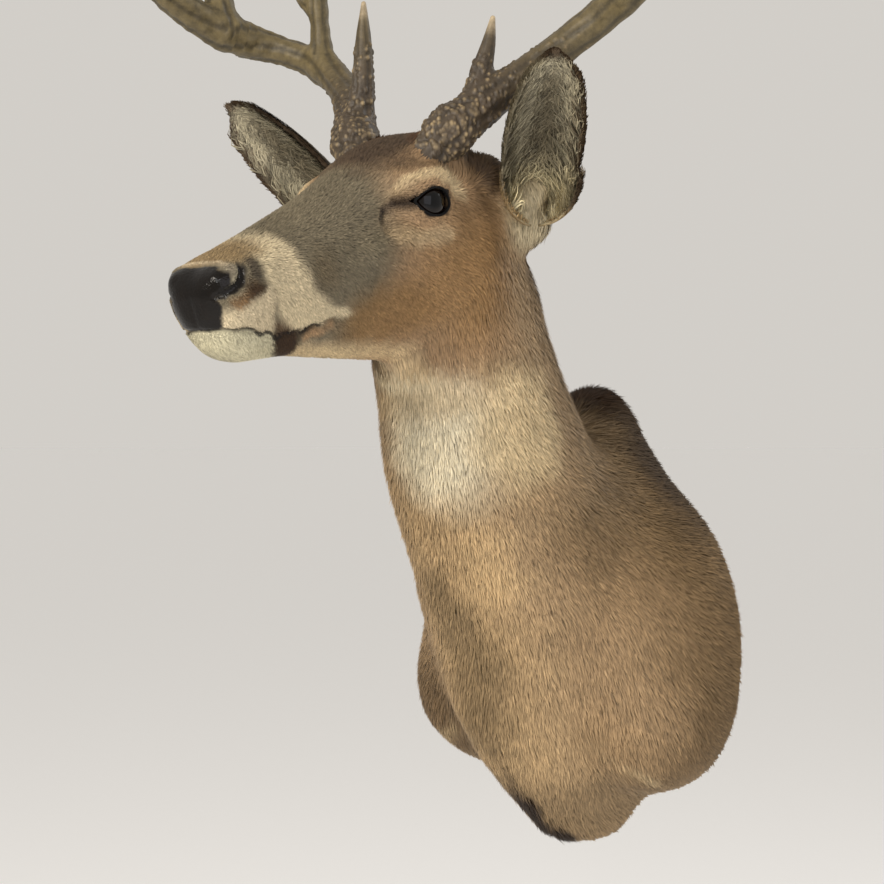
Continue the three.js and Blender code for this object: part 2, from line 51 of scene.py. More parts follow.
def turn(yaw=0.0, pitch=0.0, roll=0.0):
    a, b, c = np.radians([yaw, pitch, roll])
    about_z = np.array([[np.cos(a), -np.sin(a), 0], [np.sin(a), np.cos(a), 0], [0, 0, 1]])
    about_y = np.array([[np.cos(b), 0, np.sin(b)], [0, 1, 0], [-np.sin(b), 0, np.cos(b)]])
    about_x = np.array([[1, 0, 0], [0, np.cos(c), -np.sin(c)], [0, np.sin(c), np.cos(c)]])
    return about_z @ about_y @ about_x


# In the head's own frame x runs to the nose, y to the deer's left and z up.
HEAD_TURN = turn(HEAD_YAW - 90, HEAD_PITCH, HEAD_ROLL)


def pointing(v):
    return np.array(v, float) / np.linalg.norm(v)


def to_head(p):
    return (p - EYE_LINE) @ HEAD_TURN


def from_head(q):
    return q @ HEAD_TURN.T + EYE_LINE


def on_head(x, y, z):
    return HEAD_TURN @ np.array([x, y, z], float) + EYE_LINE


def profile(stations, values):
    stations = np.array(stations, float)
    values = np.array(values, float)
    slopes = np.gradient(values, stations)

    def at(x):
        x = np.clip(x, stations[0], stations[-1])
        i = np.clip(np.searchsorted(stations, x) - 1, 0, len(stations) - 2)
        span = stations[i + 1] - stations[i]
        t = (x - stations[i]) / span
        start = (2 * t**3 - 3 * t**2 + 1) * values[i] + (t**3 - 2 * t**2 + t) * span * slopes[i]
        end = (3 * t**2 - 2 * t**3) * values[i + 1] + (t**3 - t**2) * span * slopes[i + 1]
        return start + end
    return at


def join(a, b, blend):
    share = np.clip(0.5 + 0.5 * (b - a) / blend, 0, 1)
    return b * (1 - share) + a * share - blend * share * (1 - share)


def carve(a, b, blend):
    return -join(-a, b, blend)


def inside(distance, soft):
    t = np.clip(0.5 - distance / soft, 0, 1)
    return t * t * (3 - 2 * t)


def egg(p, centre, radii, yaw=0.0):
    q = p - np.array(centre, float)
    if yaw:
        q = q @ turn(yaw)
    far = np.sqrt(((q / radii) ** 2).sum(1))
    steep = np.sqrt(((q / np.array(radii, float) ** 2) ** 2).sum(1))
    return far * (far - 1) / np.maximum(steep, 1e-9)


def limb(p, a, b, radius_a, radius_b):
    a = np.array(a, float)
    ab = np.array(b, float) - a
    t = np.clip((p - a) @ ab / (ab @ ab), 0, 1)
    return np.linalg.norm(p - a - t[:, None] * ab, axis=1) - (radius_a + (radius_b - radius_a) * t)


def run(p, points, radii, blend=1.0):
    d = limb(p, points[0], points[1], radii[0], radii[1])
    for i in range(1, len(points) - 1):
        d = join(d, limb(p, points[i], points[i + 1], radii[i], radii[i + 1]), blend)
    return d


HEAD_STATIONS = [-130, -100, -70, -45, -20, 5, 30, 60, 90, 120, 145, 162, 174, EYE_TO_NOSE]
head_top = profile(HEAD_STATIONS, [20, 34, 42.5, 46, 46, 42, 36, 29.5, 25.5, 21, 17.5, 14.5, 10, 2])
head_bottom = profile(HEAD_STATIONS, [-98, -106, -109, -109, -107, -102, -94, -83, -72, -61, -55, -50,
                                      -41, -24])
head_width = profile(HEAD_STATIONS, [44, 50, 53, 53, 52, 48.5, 42, 36, 32, 30, 29, 28.5, 24, 14])
head_waist = profile(HEAD_STATIONS, [-26, -26, -24, -22, -20, -18, -18, -18, -16, -14, -12, -10, -8, -7])
crown_power = profile(HEAD_STATIONS, [2.2, 2.3, 2.4, 2.4, 2.3, 2.15, 2, 2, 2, 2.2, 2.4, 2.5, 2.4, 2.2])
jaw_power = profile(HEAD_STATIONS, [2, 2, 1.9, 1.85, 1.8, 1.75, 1.7, 1.7, 1.8, 1.95, 2.1, 2.2, 2.3, 2.3])


BACK_OF_HEAD = -112
HEAD_STEEPNESS = 0.9                           # holds the worked-out distance to the true one


# The section of a loft is a superellipse with the given half sizes and power.
def loft(across, rise, width, height, power, least):
    share = ((np.abs(across) / width) ** power + (np.abs(rise) / height) ** power + 1e-9) ** (1 / power)
    reach = np.where(share < 1e-3, least, np.hypot(across, rise) / np.maximum(share, 1e-6))
    return (share - 1) * reach


def head_loft(q):
    x = np.clip(q[:, 0], HEAD_STATIONS[0], EYE_TO_NOSE)
    waist = head_waist(x)
    rise = q[:, 2] - waist
    width = head_width(x)
    height = np.where(rise > 0, head_top(x) - waist, waist - head_bottom(x))
    power = np.where(rise > 0, crown_power(x), jaw_power(x))
    d = loft(q[:, 1], rise, width, height, power, np.minimum(width, height)) * HEAD_STEEPNESS
    nosed = carve(d, EYE_TO_NOSE - q[:, 0], 6)
    return carve(nosed, q[:, 0] - BACK_OF_HEAD, 40)


def mirrored(q):
    return np.column_stack([q[:, 0], np.abs(q[:, 1]), q[:, 2]])


# The muscle at the root of an ear closes the foot of its tube.
EARS = {
    "left": {"root": on_head(-104, 63.5, -22.5), "along": (0.573, -0.466, 0.674),
             "open": (0.537, -0.407, -0.739), "length": 126, "breadth": 0.92},
    "right": {"root": on_head(-88.5, -68.5, -28.5), "along": (-0.46, -0.608, 0.648),
              "open": (0.235, -0.786, -0.571), "length": 139, "breadth": 0.94},
}


def ear_foot(p, side):
    ear = EARS[side]
    along = pointing(ear["along"])
    return limb(p, ear["root"] - 14 * along, ear["root"] + 12 * along, 20, 15 * ear["breadth"])


def head(p):
    q = to_head(p)
    d = head_loft(q)
    near = d < 60
    m = mirrored(q[near])
    e = d[near]
    e = join(e, egg(m, (-8, 40, 14), (26, 17, 13)), 12)                # brow
    e = join(e, egg(m, (-38, 36, -46), (40, 20, 38)), 22)              # cheek
    e = join(e, limb(m, (-20, 45, -14), (48, 33, -14), 9, 6), 14)      # ridge under the eye
    e = join(e, egg(m, (-92, 48, -26), (24, 20, 28)), 14)              # root of the ear
    e = join(e, egg(m, (-82, 45, 5), (18, 14, 15)), 10)                # thick hair behind the antler
    e = carve(e, egg(m, (34, 47, 6), (20, 7, 6), -16), 8)              # hollow before the eye
    e = join(e, egg(m, (150, 17, -8), (26, 14, 17)), 10)               # whisker pad
    e = join(e, egg(m, (166, 13, 0.5), (13, 10, 9.5)), 8)              # wing of the nostril
    e = join(e, egg(q[near], (156, 0, -36), (17, 17, 11)), 8)          # chin
    e = join(e, ear_foot(p[near], "left"), 12)
    d[near] = join(e, ear_foot(p[near], "right"), 12)
    return d


NECK_LEVELS = [-60, -20, 14, 33, 68, 106, 120, 143, 165, 187, 215, 244, 290]
neck_centre = profile(NECK_LEVELS, [-12, -34, -58, -70, -93, -117, -125, -135, -143, -151, -158, -163,
                                    -168])
neck_half_width = profile(NECK_LEVELS, [98, 99, 97, 92, 84, 77, 73.5, 69.5, 66, 63, 58, 55, 50])
neck_half_depth = profile(NECK_LEVELS, [100, 104, 104, 100, 96, 90, 87, 82.5, 78.5, 75, 70, 66, 56])
NECK_POWER = 2.1                               # a little squarer than an ellipse
NECK_TOP = 300
NECK_STEEPNESS = 0.93


def neck(p):
    z = np.clip(p[:, 2], NECK_LEVELS[0], NECK_LEVELS[-1])
    x = p[:, 0] - NECK_CENTRE_X
    y = p[:, 1] - neck_centre(z)
    half = neck_half_width(z)
    d = loft(x, y, half, neck_half_depth(z), NECK_POWER, half) * NECK_STEEPNESS
    footed = carve(d, p[:, 2] - NECK_LEVELS[0], 20)
    return carve(footed, NECK_TOP - p[:, 2], 60)


def trunk(p):
    m = np.column_stack([np.abs(p[:, 0]), p[:, 1], p[:, 2]])
    d = egg(p, (0, -14, -8), (108, 120, 150))                          # chest
    d = join(d, egg(m, (72, -2, -20), (68, 88, 110), 12), 30)          # shoulder blade and arm
    d = join(d, limb(p, (0, 10, 138), (0, -20, 60), 44, 78), 40)       # withers
    d = join(d, egg(m, (84, -44, -64), (50, 48, 52)), 30)              # point of the shoulder
    d = join(d, limb(p, (0, -88, -40), (0, -8, -146), 42, 36), 34)     # brisket
    return join(d, limb(p, (-7, -94, -66), (-9, -26, -143), 36, 34), 16)   # its keel


# Depth of the coat: a velvet on the muzzle, finger deep on the neck.
depth_along = profile([-130, -60, 0, 60, 120, 165, 184], [5.0, 3.2, 2.0, 1.7, 1.3, 0.8, 0.3])
depth_below = profile([-150, -118, -95], [5.0, 2.6, 0.0])


def coat_depth(q):
    return np.maximum(depth_along(q[:, 0]), depth_below(q[:, 2]))


def body_form(p):
    return join(join(trunk(p), neck(p), 30), head(p), 18) + coat_depth(to_head(p))


# The opening of the lids is the space between two arcs through its corners.
EYE_SEAT = np.array([-8.5, 38.5, 4.2])
EYE_RADIUS = 17.5
LID_FRONT = np.array([11.0, 9.4])              # corners of the lids, x and z
LID_REAR = np.array([-19.0, -0.9])
LID_RISE, LID_DROP = 9.8, 8.8                  # height of the upper arc and depth of the lower
LID_REACH = (25, 23, 22)                       # half sizes of the egg that the lids lie within
NEAR_SKIN = 25                                 # mm off the form, beyond which its detail is left out
FACE_REAR, FACE_FOOT = -60, -75                # the face's detail lies ahead of and above these


def lid_opening(m):
    chord = LID_FRONT - LID_REAR
    half = np.linalg.norm(chord) / 2
    along = chord / (2 * half)
    middle = (LID_FRONT + LID_REAR) / 2
    a = (m[:, [0, 2]] - middle) @ along
    b = (m[:, [0, 2]] - middle) @ np.array([-along[1], along[0]])
    upper = (half**2 + LID_RISE**2) / (2 * LID_RISE)
    lower = (half**2 + LID_DROP**2) / (2 * LID_DROP)
    above = np.hypot(a, b - (LID_RISE - upper)) - upper
    below = np.hypot(a, b + (LID_DROP - lower)) - lower
    return np.maximum(above, below), b


def lidded(p):
    d = body_form(p)
    near = (d < NEAR_SKIN) & (to_head(p)[:, 0] > FACE_REAR)
    d[near] = join(d[near], egg(mirrored(to_head(p[near])), EYE_SEAT, (21.5, 18.8, 18.8)), 7)
    return d


# A line drawn on the side of the face through (x, z) places, dropped onto the skin.
DROP_FROM = 62.0                               # mm to the side, clear of the cheek
DROP_STEPS, DROP_SHARE = 70, 0.7


def on_cheek(places):
    spots = np.array([(x, DROP_FROM, z) for x, z in places])
    for _ in range(DROP_STEPS):
        spots[:, 1] -= DROP_SHARE * np.clip(lidded(from_head(spots)), -2, 9)
    return spots


NOSTRIL = on_cheek([(160, 9.5), (163.5, 4.5), (167.5, 0.3), (173, -2), (178, -3.8), (181, -4.4)])
MOUTH = on_cheek([(182.6, -24), (179.3, -24.6), (168.8, -27.3), (154.3, -34.2), (142.2, -39.8),
                  (121.3, -44.2), (105.9, -44.8), (88, -45.6)])
LID_CREASE = on_cheek([(10.5, 9.4), (20, 9.4), (28.5, 8.2)])
TEAR_SLIT = on_cheek([(28.5, 8.2), (33, 2.5), (37, -4.5)])


SKIN_BACK = 0.8                                # mm between the wall and the flat back of the skin


def hide(p):
    d = lidded(p)
    q = to_head(p)
    near = (d < NEAR_SKIN) & (q[:, 0] > FACE_REAR) & (q[:, 2] > FACE_FOOT)
    m = mirrored(q[near])
    e = d[near]
    opening, over = lid_opening(m)
    fold = inside(np.maximum(np.abs(opening - 6.5) - 1.0, -over - 2), 3)
    e = e + 0.8 * fold * inside(egg(m, EYE_SEAT, (24, 23, 22)), 4)     # fold over the upper lid
    floor = np.maximum(-egg(m, EYE_SEAT, (16.2, 16.0, 16.2)), 41.0 - m[:, 1])
    e = carve(e, np.maximum(opening, floor), 1.3)                      # socket behind the lids
    e = e + 2.2 * inside(run(m, LID_CREASE, [2.2, 2.0, 1.2]), 3.5)
    e = e + 2.8 * inside(run(m, TEAR_SLIT, [1.1, 1.3, 0.7]), 2.4)
    e = join(e, run(m, [(167, 20, 6), (174, 16.5, 4)], [4.2, 4.0]), 4)     # rolled wing of the nostril
    e = e + 5.5 * inside(run(m, NOSTRIL, [0.9, 1.5, 1.8, 1.7, 1.5, 0.8]), 2.6)
    e = e + 1.2 * inside(limb(m, (186, 0, 6), (184, 0, -26), 1.2, 1.0), 3.4)   # groove down the nose
    e = e + 1.8 * inside(run(m, MOUTH, [0.9, 1.0, 0.9, 0.9, 0.9, 0.9, 0.8, 0.4]), 2.4)
    d[near] = e
    return np.maximum(d, p[:, 1] + SKIN_BACK)


# The surface is wrapped with one point in each cell that it crosses, settled onto the
# surface, in a grid that is fine round the head and coarse over the trunk. Only the blocks of
# cells that the surface may cross are worked out in full.
BLOCK = 4                                      # cells along each side of a block
AT_ONCE = 300000                               # places worked out together


def ticks(low, high, fine_low, fine_high, fine, coarse):
    first = np.arange(fine_low, low - coarse, -coarse)[::-1]
    middle = np.arange(fine_low, fine_high, fine)[1:]
    last = np.arange(middle[-1] + coarse, high + 5 * coarse, coarse)
    marks = np.concatenate([first, middle, last])
    return marks[: (len(marks) - 1) // BLOCK * BLOCK + 1]


def values(form, points):
    return np.concatenate([form(points[i:i + AT_ONCE]) for i in range(0, len(points), AT_ONCE)])


def slope(form, points, step=0.4):
    here = values(form, points)
    moved = [values(form, points + step * np.eye(3)[i]) - here for i in range(3)]
    return here, np.stack(moved, 1) / step


def wrap(form, axes):
    count = np.array([len(a) for a in axes])
    blocks = (count - 1) // BLOCK
    corner = np.stack(np.meshgrid(*[a[::BLOCK] for a in axes], indexing="ij"), -1).reshape(-1, 3)
    coarse = values(form, corner).reshape(blocks + 1)
    nearest = np.abs(coarse)
    for axis in range(3):
        low = np.take(nearest, range(nearest.shape[axis] - 1), axis)
        nearest = np.minimum(low, np.take(nearest, range(1, nearest.shape[axis]), axis))
    size = np.meshgrid(*[np.diff(a[::BLOCK]) for a in axes], indexing="ij")
    crossed = np.argwhere(nearest < 0.9 * np.sqrt(size[0]**2 + size[1]**2 + size[2]**2))
    field = coarse[:-1, :-1, :-1]
    for axis in range(3):
        field = np.repeat(field, BLOCK, axis)
    field = np.pad(field, ((0, 1),) * 3, mode="edge")
    marked = np.zeros(count, bool)
    offset = np.stack(np.meshgrid(*[np.arange(BLOCK + 1)] * 3, indexing="ij"), -1).reshape(-1, 3)
    at = (crossed[:, None, :] * BLOCK + offset).reshape(-1, 3)
    marked[tuple(at.T)] = True
    at = np.argwhere(marked)
    field[tuple(at.T)] = values(form, np.column_stack([axes[i][at[:, i]] for i in range(3)]))
    within = field < 0
    corners = [(i, j, k) for i in (0, 1) for j in (0, 1) for k in (0, 1)]
    full = np.zeros(count - 1, np.int8)
    for i, j, k in corners:
        full += within[i:count[0] - 1 + i, j:count[1] - 1 + j, k:count[2] - 1 + k]
    cells = np.argwhere((full > 0) & (full < 8))
    number = np.full(count - 1, -1)
    number[tuple(cells.T)] = np.arange(len(cells))
    total = np.zeros((len(cells), 3))
    crossings = np.zeros(len(cells))
    for a in corners:
        for axis in range(3):
            if a[axis]:
                continue
            b = np.array(a)
            b[axis] = 1
            at_a = field[tuple((cells + a).T)]
            at_b = field[tuple((cells + b).T)]
            cut = (at_a < 0) != (at_b < 0)
            t = np.where(cut, at_a / np.where(cut, at_a - at_b, 1), 0)
            total += np.where(cut[:, None], np.array(a) + t[:, None] * (b - np.array(a)), 0)
            crossings += cut
    share = total / crossings[:, None]
    low = np.column_stack([axes[i][cells[:, i]] for i in range(3)])
    high = np.column_stack([axes[i][cells[:, i] + 1] for i in range(3)])
    points = low + share * (high - low)
    for _ in range(2):
        here, steep = slope(form, points)
        move = here / np.maximum((steep**2).sum(1), 0.2)
        room = 0.4 * (high - low).min(1)
        points -= np.clip(move, -room, room)[:, None] * steep
    faces = []
    for axis in range(3):
        step = np.eye(3, dtype=int)
        u, w = step[(axis + 1) % 3], step[(axis + 2) % 3]
        top = count - step[axis]
        here = within[:top[0], :top[1], :top[2]]
        there = within[step[axis][0]:, step[axis][1]:, step[axis][2]:]
        edge = np.argwhere(here != there)
        last = count - 1
        kept = (edge @ u > 0) & (edge @ u < last @ u) & (edge @ w > 0) & (edge @ w < last @ w)
        edge = edge[kept]
        ring = np.stack([number[tuple((edge - s).T)] for s in (u + w, w, 0 * u, u)], 1)
        outward = here[tuple(edge.T)]
        faces.append(np.where(outward[:, None], ring, ring[:, ::-1]))
    return points, np.concatenate(faces)


FINE = 1.4
COARSE = 4.0
hide_points, hide_faces = wrap(hide, [
    ticks(-155, 155, -66, 104, FINE, COARSE),
    ticks(-450, 8, -446, -196, FINE, COARSE),
    ticks(-200, 350, 190, 346, FINE, COARSE)])

# ------------------------------------------------------------------------------------------
# The markings. A white-tailed buck in its winter coat is grey-brown, with a pale band round
# the muzzle, a dark spot on the lower lip, pale rings at the eyes, a white throat patch and a
# dark crown and withers. Some of the colour is painted light and shade as well: paler on the
# upper side of the neck, darker before the shoulder, down the front of the chest and low on
# the brisket, and painted shade in the creases before the eyes. The skin and the hair take
# the same colour at the same place.
# ------------------------------------------------------------------------------------------


def linear(code):
    parts = [int(code[i:i + 2], 16) / 255 for i in (0, 2, 4)]
    return [c / 12.92 if c <= 0.04045 else ((c + 0.055) / 1.055) ** 2.4 for c in parts]


def ripple(p, size, seed):
    rng = np.random.default_rng(seed)
    total = np.zeros(len(p))
    for _ in range(5):
        way = rng.normal(size=3)
        way *= 2 * np.pi / (np.linalg.norm(way) * size * rng.uniform(0.7, 1.5))
        total += np.sin(p @ way + rng.uniform(0, 2 * np.pi))
    return total / 3


# Edges of the face's patches in side view: how far forward (x) each lies at a height z.
band_rear = profile([-62, -46, -34, -24, -4, 10, 24], [68, 73, 92, 104, 111, 117, 122])
band_front = profile([-46, -38, -25, -12, -1, 10, 24], [118, 134, 140, 145, 149, 147, 143])
lips = profile([60, 88, 106, 121, 142, 154, 169, 179, 184],
               [-46, -45.6, -44.8, -44.2, -39.8, -34.2, -27.3, -24.6, -24])
leather_rear = profile([-26, -15, -9, -6, -4, -1, 2, 6, 13],
                       [178.8, 179.2, 179.6, 180.4, 179.5, 175.5, 172.6, 170.8, 170.2])
KEEL_LINE = [(-2, -130, -88), (-4, -116, -112), (-8, -84, -142), (-8, -44, -170)]


def nose_leather(p):
    q = to_head(p) + 0.35 * np.stack([ripple(p, 3.5, s) for s in (7, 8, 9)], 1)
    m = mirrored(q)
    rounded_top = q[:, 2] + 0.0105 * q[:, 1] ** 2 - 13.6
    pad = np.maximum(leather_rear(q[:, 2]) - q[:, 0], rounded_top)
    pad = np.maximum(pad, -24.6 - q[:, 2])
    return inside(np.minimum(pad, run(m, NOSTRIL, [1.8, 2.6, 3.0, 2.8, 2.4, 1.6])), 1.4)


def coat_colours_and_painted_light(p):
    q = to_head(p) + 1.4 * np.stack([ripple(p, 15, s) for s in (1, 2, 3)], 1)
    m = mirrored(q)
    x, z = q[:, 0], q[:, 2]
    w = p + 4 * np.stack([ripple(p, 40, s) for s in (4, 5, 6)], 1)
    side = np.abs(w[:, 0] - NECK_CENTRE_X)
    ahead = neck_centre(w[:, 2]) - w[:, 1]
    colour = np.tile(linear("9c8464"), (len(p), 1))

    def paint(code, mask, strength=1.0):
        share = (mask * strength)[:, None]
        colour[:] = colour * (1 - share) + np.array(linear(code)) * share

    def patch(code, shape, soft, strength=1.0):
        paint(code, inside(shape, soft), strength)

    # The body: tan down the neck and the shoulders, greyer behind, dark along the top.
    paint("957c5c", inside(60 - side, 60) * inside(w[:, 2] - 80, 60))
    paint("ab916c", inside(side - 44, 60) * inside(-ahead, 60) * inside(w[:, 2] - 120, 80))
    paint("8a7353", inside(ahead + 10, 60) * inside(60 - w[:, 2], 60), 0.8)    # back of the neck
    paint("6a563b", inside(-66 - w[:, 1], 50) * inside(44 - side, 40), 0.9)    # towards the wall
    paint("45382a", inside(-38 - w[:, 1], 44) * inside(70 - w[:, 2], 70))      # along the back
    # Darker before the near shoulder: its hair, and painted shade where the body turns from the light.
    patch("6f5b40", egg(w, (84, -96, 80), (36, 40, 34)), 54, 0.75)             # before the shoulder
    patch("c2a67c", egg(w, (36, -166, 56), (18, 30, 34)), 26, 0.7)
    # Darker down the front of the chest: its hair, and painted shade.
    patch("7f6b4e", run(w, [(-14, -160, 34), (4, -142, -24), (-2, -118, -74)], [18, 26, 22]), 28, 0.9)
    patch("5a4832", egg(w, (-84, -84, -80), (44, 50, 46)), 34, 0.7)
    # Darker low on the brisket: its hair, and painted shade underneath.
    paint("836e51", inside(w[:, 2] + 112, 40), 0.9)                            # low brisket
    patch("dbd0b4", egg(w, (24, -200, 140), (40, 60, 44)), 36)                 # throat patch
    # Paler on the upper side of the neck: its hair, and painted light where the lamp falls on it.
    patch("c8b48e", egg(w, (60, -164, 150), (26, 34, 40)), 30, 0.85)           # side of the neck
    patch("b39d78", egg(w, (14, -214, 168), (46, 34, 14)), 20, 0.6)
    patch("dccfae", egg(w, (8, -226, 190), (36, 18, 13)), 16, 0.85)
    patch("35220f", egg(w, (2, -14, 180), (34, 40, 24)), 24)                   # withers
    patch("2b1e13", run(w, KEEL_LINE, [5, 10, 15, 15]), 12)
    for sign in (-1, 1):
        armpit = [(sign * 71, -95, -85), (sign * 94, -84, -96), (sign * 101, -51, -117)]
        patch("b5a07c", run(w, armpit, [3, 5, 5]), 12, 0.6)
    # The head: grey before the eyes, warm brown on the cheek and crown.
    face = inside(-105 - z, 20) * inside(-78 - x - 0.35 * z, 40)

    def face_patch(code, shape, soft, strength=1.0):
        paint(code, face * inside(shape, soft), strength)

    paint("94795a", face)
    face_patch("6c6350", 26 - m[:, 0] - 0.4 * m[:, 2], 40)
    face_patch("8f6f47", egg(m, (-34, 46, -50), (52, 34, 40)), 44, 0.85)
    face_patch("86673f", egg(m, (40, 30, -58), (46, 22, 22)), 26, 0.8)
    face_patch("63543c", egg(m, (94, 30, -12), (10, 10, 12)), 18, 0.5)         # behind the band
    face_patch("46382a", egg(m, (-14, 8, 44), (50, 26, 15)), 18)               # crown
    face_patch("3f3224", run(m, [(30, 16, 36), (12, 27, 36), (-10, 34, 33)], [5, 6, 5]), 12, 0.8)
    face_patch("4a2c18", egg(m, (-52, 38, 42), (25, 25, 16)), 12, 0.9)         # round the antlers
    patch("5a462e", egg(m, (-62, 52, 2), (14, 12, 20)), 16, 0.6)
    patch("3d2e1e", egg(m, (-80, 48, 12), (20, 19, 15)), 12, 0.9)              # temple before the ear
    eyebrow = run(m, [(25, 37, 17), (14, 42, 21), (0, 48, 22), (-16, 52, 19), (-30, 52, 12), (-37, 50, 3)],
                  [2.5, 3.5, 4.5, 6.5, 7.5, 4.5])
    face_patch("5f4c36", run(m, [(8, 34, 31), (-20, 44, 28), (-40, 50, 20)], [5, 6, 6]), 10, 0.7)
    face_patch("bba682", eyebrow, 7)
    face_patch("a89372", run(m, [(33, 38, -7), (14, 46, -13), (-10, 52, -17)], [4, 6, 5]), 9, 0.9)
    # The muzzle: the pale band round it, the brown at the nostril and the spot on the lip.
    band = inside(band_rear(z) - x, 11) * inside(x - band_front(z), 8)
    paint("c4b595", face * (band * inside(z - 17, 12) * inside(lips(x) - z, 5)))
    paint("85704f", face * inside(135 - x, 22) * inside(10.5 - z, 8), 0.9)     # tan top of the muzzle
    face_patch("b7a68a", run(m, [(168, 0, 13.5), (168, 14, 13), (168, 22, 9.5)], [2, 2, 1.6]), 3, 0.8)
    face_patch("785733", egg(m, (163, 30, -12), (17, 8, 6)), 7, 0.9)           # under the nostril
    face_patch("35230f", egg(m, (158, 31, -9), (9, 9, 9)), 8, 0.95)            # behind the nostril
    face_patch("3c342a", run(m, [(154, 24, 10), (156.5, 29, 3)], [3, 3.4]), 4, 0.85)
    lip = face * inside(145 - x, 8) * inside(z + 14 - 0.28 * (179 - x), 5)
    paint("bfb092", lip * inside(lips(x) - z, 3))
    face_patch("4a331e", run(m, [(142, 24, -32), (135, 24, -38)], [3.5, 5.5]), 8, 0.8)
    paint("b8b195", face * inside(132 - x, 8) * inside(z - lips(x) + 0.5, 3))  # chin
    face_patch("cbb48c", run(m, [(118, 10, -60), (70, 12, -80), (20, 20, -102)], [9, 12, 16]), 14, 0.8)
    face_patch("b08a62", run(m, [(112, 22, -50), (92, 24, -50)], [4, 3]), 6, 0.6)
    face_patch("2d1c0c", run(m, [(136, 21, -42.5), (129, 17, -49), (125, 8, -58)], [7, 10, 8]), 8)
    face_patch("32220f", run(m, [(132, 21, -43), (110, 22, -45.5)], [3.8, 2]), 5, 0.85)
    rim = face * inside(leather_rear(z) - 6.5 - x, 3) * inside(x - leather_rear(z) - 2, 2)
    paint("77705f", rim * inside(-2 - z, 3) * inside(z - 11, 3), 0.85)         # before the nostril
    face_patch("6a6053", run(m, [(168, 21, 8.5), (171, 19, 5)], [2.2, 2.2]), 3, 0.8)
    patch("0c0908", run(m, NOSTRIL, [1.2, 2.0, 2.3, 2.2, 1.8, 1.2]), 1.8)
    # The eyes' surroundings, with painted shade in the creases before them, the feet of the
    # ears and the line of the mouth.
    # Painted shade in each crease before the eye: a dark brown wedge, darker along its middle.
    face_patch("40342a", run(m, LID_CREASE, [4.4, 3.8, 2.6]), 4, 0.8)
    face_patch("1e1610", run(m, LID_CREASE, [1.7, 1.3, 0.9]), 2.4, 0.8)
    face_patch("1a120c", run(m, TEAR_SLIT, [1.5, 1.4, 0.9]), 2.0, 0.85)
    for ear in EARS.values():
        patch("c3b697", np.linalg.norm(w - ear["root"], axis=1) - 26, 18, 0.9)
    opening, _ = lid_opening(m)
    face_patch("120d0a", np.maximum(opening - 0.5, egg(m, EYE_SEAT, LID_REACH)), 1.6)
    patch("120c08", run(m, MOUTH, [1.1, 1.2, 1.2, 1.2, 1.2, 1.1, 0.9, 0.4]), 1.6, 0.9)
    return colour


def add_node(tree, kind, settings=None, **links):
    made = tree.nodes.new(kind)
    for name, value in (settings or {}).items():
        if name in made.inputs and not hasattr(made, name):
            made.inputs[name].default_value = value
        else:
            setattr(made, name, value)
    for name, source in links.items():
        by_number = name[0] == "i" and name[1:].isdigit()
        socket = made.inputs[int(name[1:])] if by_number else made.inputs[name.replace("_", " ")]
        tree.links.new(source, socket)
    return made


def new_material(name):
    made = bpy.data.materials.new(name)
    made.use_nodes = True
    made.node_tree.nodes.clear()
    return made, made.node_tree


def new_piece(name, points, faces, finish, smooth=True):
    mesh = bpy.data.meshes.new(name)
    sides = faces.shape[1]
    mesh.vertices.add(len(points))
    mesh.vertices.foreach_set("co", (np.asarray(points) * MM).astype(np.float32).ravel())
    mesh.loops.add(faces.size)
    mesh.loops.foreach_set("vertex_index", faces.astype(np.int32).ravel())
    mesh.polygons.add(len(faces))
    mesh.polygons.foreach_set("loop_start", np.arange(len(faces), dtype=np.int32) * sides)
    mesh.polygons.foreach_set("use_smooth", np.full(len(faces), smooth))
    mesh.update(calc_edges=True)
    mesh.materials.append(finish)
    piece = bpy.data.objects.new(name, mesh)
    bpy.context.scene.collection.objects.link(piece)
    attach(piece, "root")
    return piece


def colour_points(piece, name, colours):
    layer = piece.data.color_attributes.new(name, "FLOAT_COLOR", "POINT")
    opaque = np.column_stack([colours, np.ones(len(colours))])
    layer.data.foreach_set("color", opaque.astype(np.float32).ravel())


def value_points(piece, name, numbers):
    layer = piece.data.attributes.new(name, "FLOAT", "POINT")
    layer.data.foreach_set("value", np.asarray(numbers, np.float32))


# ------------------------------------------------------------------------------------------
# The skin itself, tanned and dry, bare only at the nose, the lids and the lips. The nose is
# painted with black lacquer over its pebbled leather. At the back the skin is turned over
# the edge of the form and stapled down, with its raw side showing.
# ------------------------------------------------------------------------------------------
PEBBLE = 1.3                                   # mm between the pebbles of the nose
HAIR_STREAK = 1.6                              # mm between streaks of the flat coat
HEM = 26.0                                     # mm of hide turned over at the back

# Tanned deer skin is dull and takes the colour of its hair. Lacquer makes the nose look wet.
tanned, tree = new_material("tanned_deer_skin")
colour_and_painted_light = add_node(tree, "ShaderNodeAttribute", {"attribute_name": "colour_and_painted_light"})
bare = add_node(tree, "ShaderNodeAttribute", {"attribute_name": "bare"})
place = add_node(tree, "ShaderNodeTexCoord")
streaks = add_node(tree, "ShaderNodeTexNoise", {"Scale": 1000 / HAIR_STREAK, "Detail": 3.0},
                   Vector=place.outputs["Object"])
shade = add_node(tree, "ShaderNodeMapRange", {"To Min": 0.55, "To Max": 0.9}, Value=streaks.outputs["Fac"])
fur = add_node(tree, "ShaderNodeMix",
               {"data_type": "RGBA", "blend_type": "MULTIPLY", "Factor": 1.0},
               i6=colour_and_painted_light.outputs["Color"], i7=shade.outputs["Result"])
pebbles = add_node(tree, "ShaderNodeTexVoronoi",
                   {"Scale": 1000 / PEBBLE, "feature": "SMOOTH_F1", "Smoothness": 0.5},
                   Vector=place.outputs["Object"])
grime = add_node(tree, "ShaderNodeTexNoise", {"Scale": 110.0, "Detail": 4.0},
                 Vector=place.outputs["Object"])
